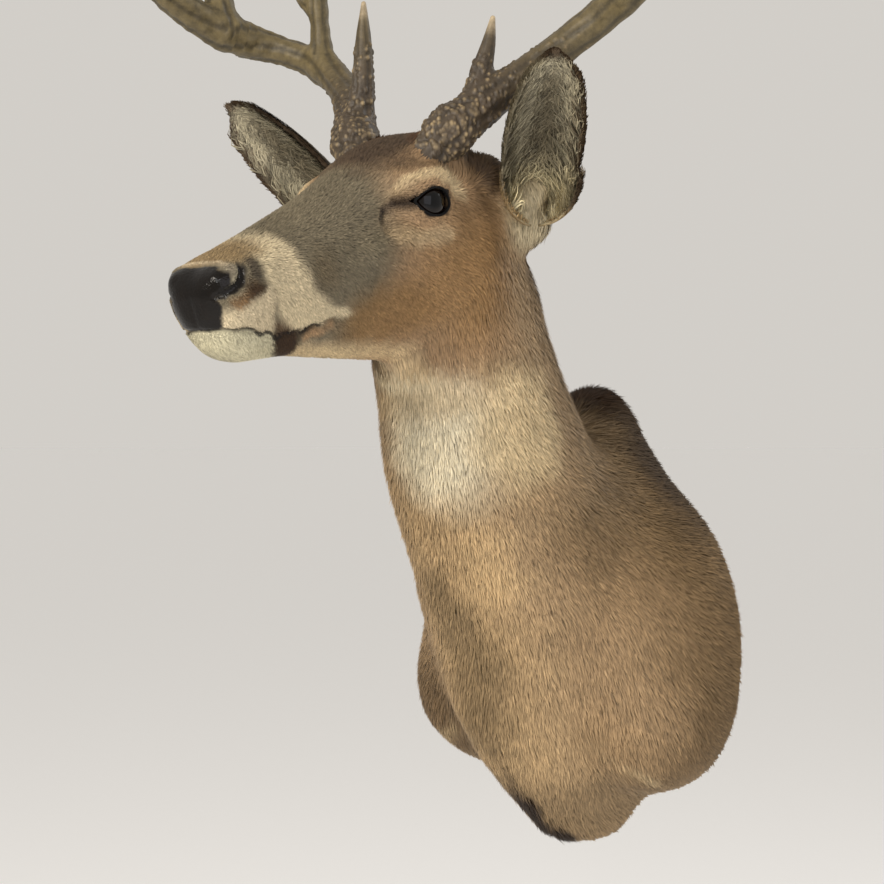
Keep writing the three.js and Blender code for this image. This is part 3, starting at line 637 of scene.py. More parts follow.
leather = add_node(tree, "ShaderNodeMix", {"data_type": "RGBA"}, Factor=grime.outputs["Fac"])
leather.inputs[6].default_value = linear("050403") + [1]
leather.inputs[7].default_value = linear("120c07") + [1]
skin_colour = add_node(tree, "ShaderNodeMix", {"data_type": "RGBA"}, Factor=bare.outputs["Fac"],
                       i6=fur.outputs[2], i7=leather.outputs[2])
skin_rough = add_node(tree, "ShaderNodeMapRange", {"To Min": 0.85, "To Max": 0.17},
                      Value=bare.outputs["Fac"])
heights = add_node(tree, "ShaderNodeMix", {"data_type": "FLOAT"}, Factor=bare.outputs["Fac"],
                   i2=streaks.outputs["Fac"], i3=pebbles.outputs["Distance"])
relief = add_node(tree, "ShaderNodeBump", {"Strength": 0.35, "Distance": 0.0005}, Height=heights.outputs[0])
skin_shader = add_node(tree, "ShaderNodeBsdfPrincipled", {"IOR": 1.45, "Specular IOR Level": 0.26},
                       Base_Color=skin_colour.outputs[2], Roughness=skin_rough.outputs["Result"],
                       Normal=relief.outputs["Normal"])
add_node(tree, "ShaderNodeOutputMaterial", Surface=skin_shader.outputs[0])


def hide_colours(p):
    colour = coat_colours_and_painted_light(p)
    flat_back = inside(-1.6 - p[:, 1], 1.0)
    edge = values(body_form, np.column_stack([p[:, 0], np.full(len(p), -2.0), p[:, 2]]))
    raw = np.array(linear("b09c80")) * (1 + 0.10 * ripple(p, 14, 71))[:, None]
    foam = np.array(linear("cfc3a2")) * (1 + 0.05 * ripple(p, 8, 72))[:, None]
    hem = inside(-HEM - 3 * ripple(p, 30, 73) - edge, 1.5)[:, None]
    back = foam * (1 - hem) + raw * hem
    return colour * (1 - flat_back[:, None]) + back * flat_back[:, None]


# ------------------------------------------------------------------------------------------
# The ears. Thin cartilage leaves, rolled almost to a tube at the root and opening forward,
# each with an ear liner inside. Their skin is part of the hide.
# ------------------------------------------------------------------------------------------
def unit(v):
    return v / np.maximum(np.linalg.norm(v, axis=1), 1e-9)[:, None]


EAR_SKIN = 2.4                                 # thickness of the leaf without its hair
EAR_HAIR = 1.5                                 # depth of the hair on it
EAR_RINGS, EAR_STEPS = 72, 40
EAR_STATIONS = [0, .08, .18, .3, .45, .6, .75, .87, .95, 1]
ear_half_width = profile(EAR_STATIONS, [13, 20, 26, 29.5, 30.5, 29.5, 25.5, 20.5, 15.5, 10])
ear_wrap = profile([0, .1, .2, .3, .45, .6, .8, 1], [168, 138, 112, 94, 78, 68, 60, 52])


# A place on the leaf: t up its length, s across it from -1 to 1, and the height off its
# middle. It comes with the ways up the ear, across it and out of its back.
def on_ear(side, t, s, height):
    ear = EARS[side]
    along = pointing(ear["along"])
    opened = np.array(ear["open"], float)
    opened = pointing(opened - (opened @ along) * along)
    across = np.cross(along, opened)
    wrapped = np.radians(ear_wrap(t))
    half = ear["breadth"] * ear_half_width(t)
    radius = np.maximum(half / np.sin(np.minimum(wrapped, np.pi / 2)), 12)
    rounded = (half - EAR_HAIR) * np.sqrt(np.clip((1.004 - t) / 0.13, 0, 1))
    angle = s * np.where(wrapped < np.pi / 2, np.arcsin(np.clip(rounded / radius, 0, 1)), wrapped)
    out = np.outer(-np.cos(angle), opened) + np.outer(np.sin(angle), across)
    sideways = np.outer(np.sin(angle), opened) + np.outer(np.cos(angle), across)
    centre = ear["root"] + np.outer(t * ear["length"], along)
    centre = centre + (radius - 6 * np.sin(np.pi * t))[:, None] * opened
    ridge = 0.9 * np.sin(s * 11) * np.sin(np.pi * np.clip(t * 1.3, 0, 1)) * (height < 0)
    reach = np.maximum(radius + height + ridge, 0.8)
    return centre + out * reach[:, None], np.tile(along, (len(t), 1)), sideways, out


# Dark along the rim, grey-white inside with a darker middle, cream at the foot.
def ear_colours(side, t, s, inner):
    def blend(colour, code, mask):
        return colour * (1 - mask[:, None]) + np.array(linear(code)) * mask[:, None]

    back = blend(np.tile(linear("7c6a4e"), (len(t), 1)), "a8906a", inside(t - 0.25, 0.25))
    lining = np.tile(linear("8f8873"), (len(t), 1))
    lining = blend(lining, "4e4636", inside(np.abs(s - 0.1) - 0.42, 0.5) * inside(t - 0.82, 0.3) * 0.85)
    lining = blend(lining, "c4b997", inside(t - 0.20, 0.22))
    rim = inside(1 - np.abs(s) - 0.05 - 0.12 * np.clip(t - 0.7, 0, 1), 0.12) * inside(0.16 - t, 0.1)
    if side == "left":
        rim = rim * inside(-s, 0.5)            # the front edge of this one is pale
    rim = np.maximum(rim, inside(0.95 - t, 0.07))
    colour = np.where(inner[:, None], lining, back)
    front = inside(1 - np.abs(s) - 0.1, 0.2) * (1 - rim) * inside(0.3 - t, 0.2)
    return blend(blend(colour, "9c937b", front * 0.8), "3c2d1f", np.clip(rim, 0, 1) * 0.92)


# The quads between rings of points, each ring closed on itself.
def ring_quads(rings, around):
    i, k = (v.ravel() for v in np.meshgrid(np.arange(rings - 1), np.arange(around), indexing="ij"))
    here, after = i * around + k, i * around + (k + 1) % around
    return np.column_stack([here, here + around, after + around, after])


ear_points, ear_faces, ear_shade = [], [], []
for side in ("left", "right"):
    t = np.linspace(0.0, 1.0, EAR_RINGS) ** 0.9
    s = np.concatenate([np.linspace(-1, 1, EAR_STEPS), np.linspace(1, -1, EAR_STEPS)])
    height = np.repeat([EAR_SKIN / 2, -EAR_SKIN / 2], EAR_STEPS)
    grid_t, grid_s = np.repeat(t, len(s)), np.tile(s, len(t))
    points = on_ear(side, grid_t, grid_s, np.tile(height, len(t)))[0]
    around = len(s)
    faces = ring_quads(EAR_RINGS, around)
    j = np.arange(EAR_STEPS - 1)
    foot = np.column_stack([j, j + 1, around - 2 - j, around - 1 - j])
    tip = foot[:, ::-1] + (EAR_RINGS - 1) * around
    ear_faces.append(np.concatenate([faces, foot, tip]) + sum(len(x) for x in ear_points))
    ear_points.append(points)
    ear_shade.append(ear_colours(side, grid_t, grid_s, np.tile(height < 0, len(t))))

# The lids end in a thin bare margin, rolled against the glass all round the opening. It is a
# tube along the edge of the lids, which is part of the skin.
LID_MARGIN, MARGIN_SIDES = 0.9, 10             # radius of the roll, and flats round it
MARGIN_SINK = 0.8                              # mm of it below the face
ARC_POINTS = 48                                # along the upper arc, and along the lower
LID_BLACK = 0.003                              # its colour, the same in red, green and blue


def lid_arc(height, count):
    half = np.linalg.norm(LID_FRONT - LID_REAR) / 2
    along = (LID_FRONT - LID_REAR) / (2 * half)
    radius = (half**2 + height**2) / (2 * abs(height))
    angle = np.linspace(-1, 1, count) * np.arcsin(half / radius)
    b = np.sign(height) * (abs(height) - radius + radius * np.cos(angle))
    spots = (LID_FRONT + LID_REAR) / 2 + np.outer(radius * np.sin(angle), along)
    return spots + np.outer(b, [-along[1], along[0]])


arcs = [lid_arc(LID_RISE, ARC_POINTS)[:-1], lid_arc(-LID_DROP, ARC_POINTS)[:0:-1]]
loop = on_cheek(np.concatenate(arcs))
loop[:, 1] -= MARGIN_SINK
for _ in range(3):
    loop = (np.roll(loop, 1, 0) + 2 * loop + np.roll(loop, -1, 0)) / 4
run_on = unit(np.roll(loop, -1, 0) - np.roll(loop, 1, 0))
away = unit(np.cross(run_on, [0, 1.0, 0]))
up_off = np.cross(away, run_on)
spin = np.arange(MARGIN_SIDES) * 2 * np.pi / MARGIN_SIDES
ring = np.cos(spin)[None, :, None] * away[:, None] + np.sin(spin)[None, :, None] * up_off[:, None]
margin = (loop[:, None] + LID_MARGIN * ring).reshape(-1, 3)
margin_faces = ring_quads(len(loop) + 1, MARGIN_SIDES)[:, [0, 3, 2, 1]] % len(margin)
lid_points, lid_faces = [], []
for sign in (1, -1):
    lid_faces.append((margin_faces if sign < 0 else margin_faces[:, ::-1]) + len(lid_points) * len(margin))
    lid_points.append(from_head(margin * [1, sign, 1]))
lid_points = np.concatenate(lid_points)

ear_shade = np.concatenate(ear_shade)
skin_points = np.concatenate([hide_points] + ear_points + [lid_points])
skin_faces = np.concatenate([hide_faces] + [f + len(hide_points) for f in ear_faces]
                            + [f + len(hide_points) + len(ear_shade) for f in lid_faces])
skin = new_piece("tanned_skin", skin_points, skin_faces, tanned)
skin_colours = [hide_colours(hide_points), ear_shade, 0 * lid_points + LID_BLACK]
colour_points(skin, "colour_and_painted_light", np.clip(np.concatenate(skin_colours), 0, 1))
with_hair = np.zeros(len(ear_shade) + len(lid_points))
value_points(skin, "bare", np.concatenate([nose_leather(hide_points), with_hair]))
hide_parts("head", "neck", "chest", "shoulder_left", "shoulder_right", "ear_left", "ear_right")

# ------------------------------------------------------------------------------------------
# The backboard. Plywood let into the flat back of the form, which takes the screws and the
# hanger. It keeps its solid and is finished as sanded softwood ply.
# ------------------------------------------------------------------------------------------

# Sanded ply is matt and straw-coloured, with a figure of long pale and brown bands.
plywood, tree = new_material("softwood_plywood")
place = add_node(tree, "ShaderNodeTexCoord")
stretched = add_node(tree, "ShaderNodeMapping", {"Scale": (60.0, 60.0, 6.0)},
                     Vector=place.outputs["Object"])
figure = add_node(tree, "ShaderNodeTexNoise", {"Scale": 1.6, "Detail": 6.0, "Distortion": 1.4},
                  Vector=stretched.outputs[0])
fibre = add_node(tree, "ShaderNodeTexNoise", {"Scale": 14.0, "Detail": 5.0},
                 Vector=stretched.outputs[0])
grain = add_node(tree, "ShaderNodeValToRGB", Fac=figure.outputs["Fac"])
for stop, (code, position) in zip(grain.color_ramp.elements, (("a9824f", 0.32), ("d3b483", 0.62))):
    stop.color = linear(code) + [1]
    stop.position = position
sanded = add_node(tree, "ShaderNodeBump", {"Strength": 0.3, "Distance": 0.0004},
                  Height=fibre.outputs["Fac"])
wood_shader = add_node(tree, "ShaderNodeBsdfPrincipled", {"Roughness": 0.72},
                       Base_Color=grain.outputs["Color"], Normal=sanded.outputs["Normal"])
add_node(tree, "ShaderNodeOutputMaterial", Surface=wood_shader.outputs[0])
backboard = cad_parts["backboard"]
backboard.data.materials.clear()
backboard.data.materials.append(plywood)

# ------------------------------------------------------------------------------------------
# The staples. Bright steel wire, driven through the turned-over hide all round the back, a
# finger's width in from its edge.
# ------------------------------------------------------------------------------------------
STAPLE_WIDTH, STAPLE_WIRE = 10.0, 0.9
STAPLE_INSET = 13.0                            # mm in from the edge of the back
STAPLE_SPACING = 27.0

# Drawn steel wire, bright with a brushed grey shine.
steel, tree = new_material("steel_staple_wire")
steel_shader = add_node(tree, "ShaderNodeBsdfPrincipled", {"Metallic": 1.0, "Roughness": 0.34})
steel_shader.inputs["Base Color"].default_value = linear("b9b9b6") + [1]
add_node(tree, "ShaderNodeOutputMaterial", Surface=steel_shader.outputs[0])

# The edge of the back is found along spokes from its middle, and followed round it.
EDGE_START, EDGE_STEPS = 60.0, 60


def length_along(line):
    return np.concatenate([[0], np.cumsum(np.linalg.norm(np.diff(line, axis=0), axis=1))])


spokes = np.linspace(0, 2 * np.pi, 361)[:-1]
spoke_way = np.column_stack([np.cos(spokes), 0 * spokes, np.sin(spokes)])
reach_out = np.full(len(spokes), EDGE_START)
for _ in range(EDGE_STEPS):
    reach_out -= 0.8 * values(body_form, np.array([0, -1.0, 0]) + spoke_way * reach_out[:, None])
hem_line = spoke_way * (reach_out - STAPLE_INSET)[:, None]
gone = length_along(hem_line)
staple_count = int(gone[-1] / STAPLE_SPACING)
rng = np.random.default_rng(3)
staple_points, staple_faces = [], []
box = np.array([(x, y, z) for x in (-1, 1) for y in (-1, 1) for z in (-1, 1)]) / 2
box_faces = np.array([(0, 1, 3, 2), (4, 6, 7, 5), (0, 4, 5, 1), (2, 3, 7, 6), (0, 2, 6, 4), (1, 5, 7, 3)])
for distance in np.arange(staple_count) * gone[-1] / staple_count:
    spot = np.array([np.interp(distance, gone, hem_line[:, i]) for i in range(3)])
    ahead = np.array([np.interp((distance + 5) % gone[-1], gone, hem_line[:, i]) for i in range(3)])
    tilt = np.arctan2(*(ahead - spot)[[2, 0]]) + rng.normal(0, 0.25)
    corner = box * [STAPLE_WIDTH, STAPLE_WIRE, STAPLE_WIRE]
    placed = np.column_stack([corner[:, 0] * np.cos(tilt) - corner[:, 2] * np.sin(tilt), corner[:, 1],
                              corner[:, 0] * np.sin(tilt) + corner[:, 2] * np.cos(tilt)])
    staple_faces.append(box_faces + 8 * len(staple_points))
    staple_points.append(placed + spot * [1, 0, 1] + [0, -0.5, 0])
new_piece("staples", np.concatenate(staple_points), np.concatenate(staple_faces), steel, smooth=False)

# ------------------------------------------------------------------------------------------
# The eyes. Hollow blown-glass balls, painted from behind with a near-black brown iris and a
# long level pupil, set into the form before the hide goes on.
# ------------------------------------------------------------------------------------------
EYE_OUTLOOK = np.array([0.36, 0.93, 0.08])     # the way each eye faces in the head's frame
IRIS_RADIUS = 13.0
PUPIL_HALF_WIDTH, PUPIL_HALF_HEIGHT = 7.6, 4.8
CORNEA_RISE = 0.9

# Blown glass over dark paint: nearly black, with a hard clear shine.
glass, tree = new_material("painted_glass")
across = add_node(tree, "ShaderNodeAttribute", {"attribute_name": "off_axis"})
pupil = add_node(tree, "ShaderNodeAttribute", {"attribute_name": "off_pupil"})
place = add_node(tree, "ShaderNodeTexCoord")
flecks = add_node(tree, "ShaderNodeTexNoise", {"Scale": 900.0, "Detail": 3.0},
                  Vector=place.outputs["Object"])
iris = add_node(tree, "ShaderNodeMix", {"data_type": "RGBA"}, Factor=flecks.outputs["Fac"])
iris.inputs[6].default_value = linear("0a0605") + [1]
iris.inputs[7].default_value = linear("160d07") + [1]
white_edge = add_node(tree, "ShaderNodeMapRange",
                      {"From Min": 0.95, "From Max": 1.12, "interpolation_type": "SMOOTHSTEP"},
                      Value=across.outputs["Fac"])
eye_colour = add_node(tree, "ShaderNodeMix", {"data_type": "RGBA"},
                      Factor=white_edge.outputs["Result"], i6=iris.outputs[2])
eye_colour.inputs[7].default_value = linear("120e0c") + [1]
pupil_edge = add_node(tree, "ShaderNodeMapRange",
                      {"From Min": 1.08, "From Max": 0.92, "interpolation_type": "SMOOTHSTEP"},
                      Value=pupil.outputs["Fac"])
eye_paint = add_node(tree, "ShaderNodeMix", {"data_type": "RGBA"},
                     Factor=pupil_edge.outputs["Result"], i6=eye_colour.outputs[2])
eye_paint.inputs[7].default_value = linear("020203") + [1]
eye_shader = add_node(tree, "ShaderNodeBsdfPrincipled",
                      {"IOR": 1.46, "Roughness": 0.03, "Specular IOR Level": 0.3},
                      Base_Color=eye_paint.outputs[2])
add_node(tree, "ShaderNodeOutputMaterial", Surface=eye_shader.outputs[0])

EYE_RINGS, EYE_SPOKES = 40, 64
axis = pointing(EYE_OUTLOOK)
level = pointing(np.cross([0, 0, 1.0], axis))
upright = np.cross(axis, level)
tilt, angle = np.meshgrid(np.linspace(0, np.pi, EYE_RINGS + 1)[1:-1],
                          np.arange(EYE_SPOKES) * 2 * np.pi / EYE_SPOKES, indexing="ij")
tilt = np.concatenate([[0], tilt.ravel(), [np.pi]])
angle = np.concatenate([[0], angle.ravel(), [0]])
radius = EYE_RADIUS - CORNEA_RISE * 0.3 + CORNEA_RISE * np.exp(-(tilt / 0.55) ** 4)
u = np.sin(tilt) * np.cos(angle)
v = np.sin(tilt) * np.sin(angle)
ball = radius[:, None] * (np.outer(np.cos(tilt), axis) + np.outer(u, level) + np.outer(v, upright))
ball = ball + EYE_SEAT
quads = 1 + ring_quads(EYE_RINGS - 1, EYE_SPOKES)
k = np.arange(EYE_SPOKES)
last = 1 + (EYE_RINGS - 2) * EYE_SPOKES
front = np.column_stack([0 * k, 1 + k, 1 + (k + 1) % EYE_SPOKES])
rear = np.column_stack([0 * k + last + EYE_SPOKES, last + (k + 1) % EYE_SPOKES, last + k])
faces = np.concatenate([quads[:, [0, 1, 2]], quads[:, [0, 2, 3]], front, rear])
for side, sign in (("left", 1), ("right", -1)):
    points = from_head(ball * [1, sign, 1])
    eye = new_piece(f"glass_eye_{side}", points, faces if sign > 0 else faces[:, ::-1], glass)
    facing_out = tilt < np.pi / 2
    value_points(eye, "off_axis", np.where(facing_out, np.sin(tilt), 2) * EYE_RADIUS / IRIS_RADIUS)
    off_pupil = np.hypot(u / PUPIL_HALF_WIDTH, v / PUPIL_HALF_HEIGHT) * EYE_RADIUS
    value_points(eye, "off_pupil", np.where(facing_out, off_pupil, 9))
    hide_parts(f"eye_{side}")

# ------------------------------------------------------------------------------------------
# The antlers. Solid bone, one piece each, screwed to the form by the skull plate. They are
# dark and crusted with beads at the burr, grooved along the beam and rubbed pale at the tips.
# ------------------------------------------------------------------------------------------
OUTWARD = turn(HEAD_YAW) @ np.array([1.0, 0, 0])
FORWARD = turn(HEAD_YAW) @ np.array([0, -1.0, 0])
PEDICLE = [[-16, 16, -30, 13], [-5, 5, -8, 14], [-1, 1, -2, 17], [3, -3, 4, 17], [8, -9, 10, 15.2]]
ANTLERS = {                                    # [outward, forward, up, radius] from the seat
    "right": {
        "seat": on_head(-54, -40, 41),
        "beam": PEDICLE + [
            [25, -28, 30, 13.5], [49, -48, 53, 12], [75, -61, 74, 12.5], [100, -62, 88, 11],
            [124, -53, 98, 11], [142, -34, 105, 14], [153, -4, 113, 13], [162, 38, 132, 10.5],
            [163, 86, 160, 9.5], [154, 132, 188, 8], [134, 170, 210, 5.5], [112, 196, 222, 2.5]],
        "brow_tine": [[4, -8, 8, 11], [2, -10, 40, 8.5], [1, -10, 74, 6], [0, -9, 102, 1.8]],
        "second_tine": [[82, -62, 78, 10], [84, -60, 112, 7.5], [84, -56, 150, 7.5],
                        [78, -46, 196, 5.5], [70, -36, 228, 2]],
        "third_tine": [[147, -20, 108, 13], [152, -14, 150, 9.5], [152, -4, 190, 7.5],
                       [146, 10, 228, 2]],
        "sticker_point": [[86, -59, 122, 5], [96, -56, 130, 4.5], [104, -52, 142, 2]],
    },
    "left": {
        "seat": on_head(-54, 40, 41),
        "beam": PEDICLE + [
            [25, -28, 30, 13], [49, -48, 53, 11.5], [75, -61, 74, 11.5], [100, -61, 89, 12],
            [124, -53, 100, 11.5], [143, -34, 110, 11], [155, -4, 122, 11], [164, 38, 142, 11],
            [165, 86, 168, 9.5], [156, 132, 192, 8], [136, 170, 212, 5.5], [114, 196, 224, 2.5]],
        "brow_tine": [[12, -14, 16, 9], [15, -18, 42, 7.5], [19, -21, 62, 5], [22, -22, 80, 1.8]],
        "second_tine": [[103, -60, 90, 10], [106, -56, 122, 8], [104, -48, 162, 7], [94, -34, 214, 2]],
        "third_tine": [[163, 30, 138, 10], [168, 30, 172, 7.5], [166, 36, 204, 6], [158, 48, 236, 2]],
    },
}
SPAN_STEPS = 4                                 # straight lengths between two stations
BONE_FINE, BONE_COARSE = 0.85, 2.1
BEADS = 700                                    # on the burr, the foot of the beam and the brow tine
BEAD_START, BEAD_REACH = 16.0, 170.0           # mm up the bone that they lie between
TINE_START = {"beam": 0, "brow_tine": 46}      # mm up the bone that a branch leaves it
UPPER_START = 200                              # the same for the tines higher up


def branch_line(seat, sign, stations):
    at = np.array(stations, float)
    centre = seat + np.outer(sign * at[:, 0], OUTWARD) + np.outer(at[:, 1], FORWARD)
    centre = centre + at[:, 2:3] * [0, 0, 1]
    index = np.arange(len(at), dtype=float)
    fine = np.linspace(0, len(at) - 1, (len(at) - 1) * SPAN_STEPS + 1)
    line = np.column_stack([profile(index, centre[:, i])(fine) for i in range(3)])
    return line, profile(index, at[:, 3])(fine)


# Antler is stained brown at the foot by bark and sap, dull in its grooves, worn at its tips.
bone, tree = new_material("antler_bone")
worn = add_node(tree, "ShaderNodeAttribute", {"attribute_name": "worn"})
place = add_node(tree, "ShaderNodeTexCoord")
stain = add_node(tree, "ShaderNodeTexNoise", {"Scale": 130.0, "Detail": 6.0, "Roughness": 0.7},
                 Vector=place.outputs["Object"])
pores = add_node(tree, "ShaderNodeTexNoise", {"Scale": 1400.0, "Detail": 2.0},
                 Vector=place.outputs["Object"])
stain_shade = add_node(tree, "ShaderNodeMapRange",
                       {"From Min": 0.3, "From Max": 0.7, "To Min": 0.55, "To Max": 1.4},
                       Value=stain.outputs["Fac"])
bone_colour = add_node(tree, "ShaderNodeMix",
                       {"data_type": "RGBA", "blend_type": "MULTIPLY", "Factor": 1.0},
                       i6=worn.outputs["Color"], i7=stain_shade.outputs["Result"])
bone_rough = add_node(tree, "ShaderNodeMapRange", {"To Min": 0.62, "To Max": 0.4},
                      Value=stain.outputs["Fac"])
pitted = add_node(tree, "ShaderNodeBump", {"Strength": 0.35, "Distance": 0.0003},
                  Height=pores.outputs["Fac"])
bone_shader = add_node(tree, "ShaderNodeBsdfPrincipled", {"IOR": 1.5, "Specular IOR Level": 0.4},
                       Base_Color=bone_colour.outputs[2], Roughness=bone_rough.outputs["Result"],
                       Normal=pitted.outputs["Normal"])
add_node(tree, "ShaderNodeOutputMaterial", Surface=bone_shader.outputs[0])


def corner_normals(points, faces):
    normals = np.zeros_like(points)
    one = points[faces[:, 2]] - points[faces[:, 0]]
    other = points[faces[:, 3 % faces.shape[1]]] - points[faces[:, 1]]
    crossed = np.cross(one, other)
    for k in range(faces.shape[1]):
        for axis in range(3):
            normals[:, axis] += np.bincount(faces[:, k], crossed[:, axis], len(points))
    return normals / np.maximum(np.linalg.norm(normals, axis=1), 1e-9)[:, None]


for side, sign in (("left", 1), ("right", -1)):
    parts = ANTLERS[side]
    lines = {name: branch_line(parts["seat"], sign, parts[name]) for name in parts if name != "seat"}

    def antler(p):
        d = np.full(len(p), 1e3)
        for name, (line, radii) in lines.items():
            own = np.full(len(p), 1e3)
            for i in range(len(line) - 1):
                own = np.minimum(own, limb(p, line[i], line[i + 1], radii[i], radii[i + 1]))
            d = join(d, own, 7.0)
        return d

    every = np.concatenate([line for line, _ in lines.values()])
    low, high = every.min(0) - 24, every.max(0) + 16
    base = parts["seat"] + 14 * sign * OUTWARD
    fine_low, fine_high = base - (32, 32, 24), base + (32, 32, 74)     # the beaded foot
    axes = [ticks(low[i], high[i], fine_low[i], fine_high[i], BONE_FINE, BONE_COARSE) for i in range(3)]
    points, faces = wrap(antler, axes)
    # The nearest place on a branch gives each point its distance up the bone and its angle round it.
    best = np.full(len(points), 1e9)
    height_up = np.zeros(len(points))
    spin = np.zeros(len(points))
    tip_near = np.zeros(len(points))
    for name, (line, radii) in lines.items():
        length = length_along(line)
        start = TINE_START.get(name, UPPER_START)
        for i in range(len(line) - 1):
            ab = line[i + 1] - line[i]
            t = np.clip((points - line[i]) @ ab / (ab @ ab), 0, 1)
            off = points - line[i] - t[:, None] * ab
            far = np.linalg.norm(off, axis=1) - (radii[i] + (radii[i + 1] - radii[i]) * t)
            closer = far < best
            best = np.where(closer, far, best)
            across = pointing(np.cross(ab, [0.2, 1.0, 0.1]))
            beside = np.cross(ab, across) / np.linalg.norm(ab)
            along = length[i] + t * (length[i + 1] - length[i])
            height_up = np.where(closer, start + along, height_up)
            tip_near = np.where(closer, length[-1] - along, tip_near)
            spin = np.where(closer, np.arctan2(off @ across, off @ beside), spin)
    normals = corner_normals(points, faces)
    wander = ripple(np.column_stack([height_up, spin * 0, spin * 0]), 70, 11 + sign)
    fade = np.clip((tip_near - 12) / 60, 0.05, 1)
    groove = np.sin(6 * spin + 1.5 * wander) + 0.6 * np.sin(11 * spin + 2.5 * wander + 1)
    relief_mm = 0.42 * fade * groove + 0.4 * fade * ripple(points * [1, 1, 0.6], 9, 21)
    rng = np.random.default_rng(31 + sign)
    crusted = np.flatnonzero((height_up > BEAD_START) & (height_up < BEAD_REACH) & (tip_near > 26))
    chance = np.exp(-(height_up[crusted] - BEAD_START) / 62)
    chosen = rng.choice(crusted, BEADS, replace=False, p=chance / chance.sum())
    bead_height = np.zeros(len(points))
    topped = np.zeros(len(points))
    region = np.flatnonzero(height_up < BEAD_REACH + 10)
    for c in chosen:
        width = rng.uniform(1.0, 2.1) * (1.15 - 0.5 * height_up[c] / BEAD_REACH)
        rise = width * rng.uniform(0.45, 0.8)
        pale = rng.uniform(0, 1) ** 2
        away = np.linalg.norm((points[region] - points[c]) * [1, 1, 0.72], axis=1) / width
        bead_height[region] = np.maximum(bead_height[region], rise * np.clip(1 - away**2, 0, 1) ** 0.7)
        topped[region] = np.maximum(topped[region], pale * np.clip(1.05 - away**2, 0, 1) ** 2)
    points = points + normals * (relief_mm + bead_height)[:, None]
    rough_end = inside(height_up - 120, 110)[:, None]
    pale_end = inside(tip_near - 8, 16)[:, None]
    beam_brown, foot_brown, tip_bone, bead_top = (
        np.array(linear(code)) for code in ("63573a", "43382a", "a8977a", "968260"))
    colour = beam_brown * (1 - rough_end) + foot_brown * rough_end
    colour = colour * (1 - 0.5 * inside(groove + 0.5, 1.6) * (1 - 0.5 * rough_end[:, 0]))[:, None]
    colour = colour * (1 - pale_end) + tip_bone * pale_end
    colour = colour * (1 - topped[:, None]) + bead_top * topped[:, None]
    antler_piece = new_piece(f"antler_{side}", points, faces, bone)
    colour_points(antler_piece, "worn", np.clip(colour, 0, 1))
    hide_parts(*[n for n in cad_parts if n.startswith(f"antler_{side}")])

# ------------------------------------------------------------------------------------------
# The coat. Short flat winter hair over the whole hide, in tufts that lie along the body from
# the nose backward and down the neck to the wall. Each tuft is a thin tapered blade, and takes
# its colour from the markings and painted light and shade at its root, dark at the root and
# lighter to the tip.
# ------------------------------------------------------------------------------------------
HAIR_UNDER_SKIN = 0.6                          # mm of each blade below the skin
TUFT_PATCH = 0.003                             # size of a blade on the map of its own colours
THROAT = on_head(22, 0, -104)
POLL = on_head(-122, 0, 24)
ANTLER_FOOT = np.array([-54, 40, 34])          # the hair parts round it, in the head's frame
CHEST_TOP, BRISKET_TOP = 60, -70               # levels that part the body's pieces of coat
SHOULDER_TOP, SHOULDER_SIDE = 100, 66
DENSITY = 1.0          # share of the tufts that are laid
FATNESS = 1.0

# Deer hair is hollow and soft: dull, darker at the root, with a faint sheen along the tuft.
hair, tree = new_material("deer_hair")
colour_and_painted_light, along_hair, tuft_shade = (add_node(tree, "ShaderNodeAttribute", {"attribute_name": name})
                                   for name in ("colour_and_painted_light", "along_hair", "tuft_shade"))
band = add_node(tree, "ShaderNodeValToRGB", Fac=along_hair.outputs["Fac"])
band.color_ramp.elements[0].color = (0.6, 0.59, 0.58, 1)
band.color_ramp.elements[1].color = (1.10, 1.09, 1.06, 1)
middle_band = band.color_ramp.elements.new(0.55)
middle_band.color = (0.98, 0.98, 0.97, 1)
place = add_node(tree, "ShaderNodeTexCoord")
wash = add_node(tree, "ShaderNodeTexNoise", {"Scale": 38.0, "Detail": 3.0},
                Vector=place.outputs["Object"])
wash_shade = add_node(tree, "ShaderNodeMapRange",
                      {"From Min": 0.3, "From Max": 0.7, "To Min": 0.92, "To Max": 1.08},
                      Value=wash.outputs["Fac"])
hair_colour = colour_and_painted_light.outputs["Color"]
for shade in (band.outputs["Color"], wash_shade.outputs["Result"], tuft_shade.outputs["Fac"]):
    shaded = add_node(tree, "ShaderNodeMix",
                      {"data_type": "RGBA", "blend_type": "MULTIPLY", "Factor": 1.0},
                      i6=hair_colour, i7=shade)
    hair_colour = shaded.outputs[2]
hair_shader = add_node(tree, "ShaderNodeBsdfPrincipled",
                       {"Roughness": 0.6, "IOR": 1.45, "Specular IOR Level": 0.3},
                       Base_Color=hair_colour)
add_node(tree, "ShaderNodeOutputMaterial", Surface=hair_shader.outputs[0])


def side_of_head(p):
    facing = np.cross(on_head(0, 1, 0) - on_head(0, 0, 0), POLL - THROAT)
    facing *= np.sign(facing @ FORWARD) / np.linalg.norm(facing)
    return (p - THROAT) @ facing


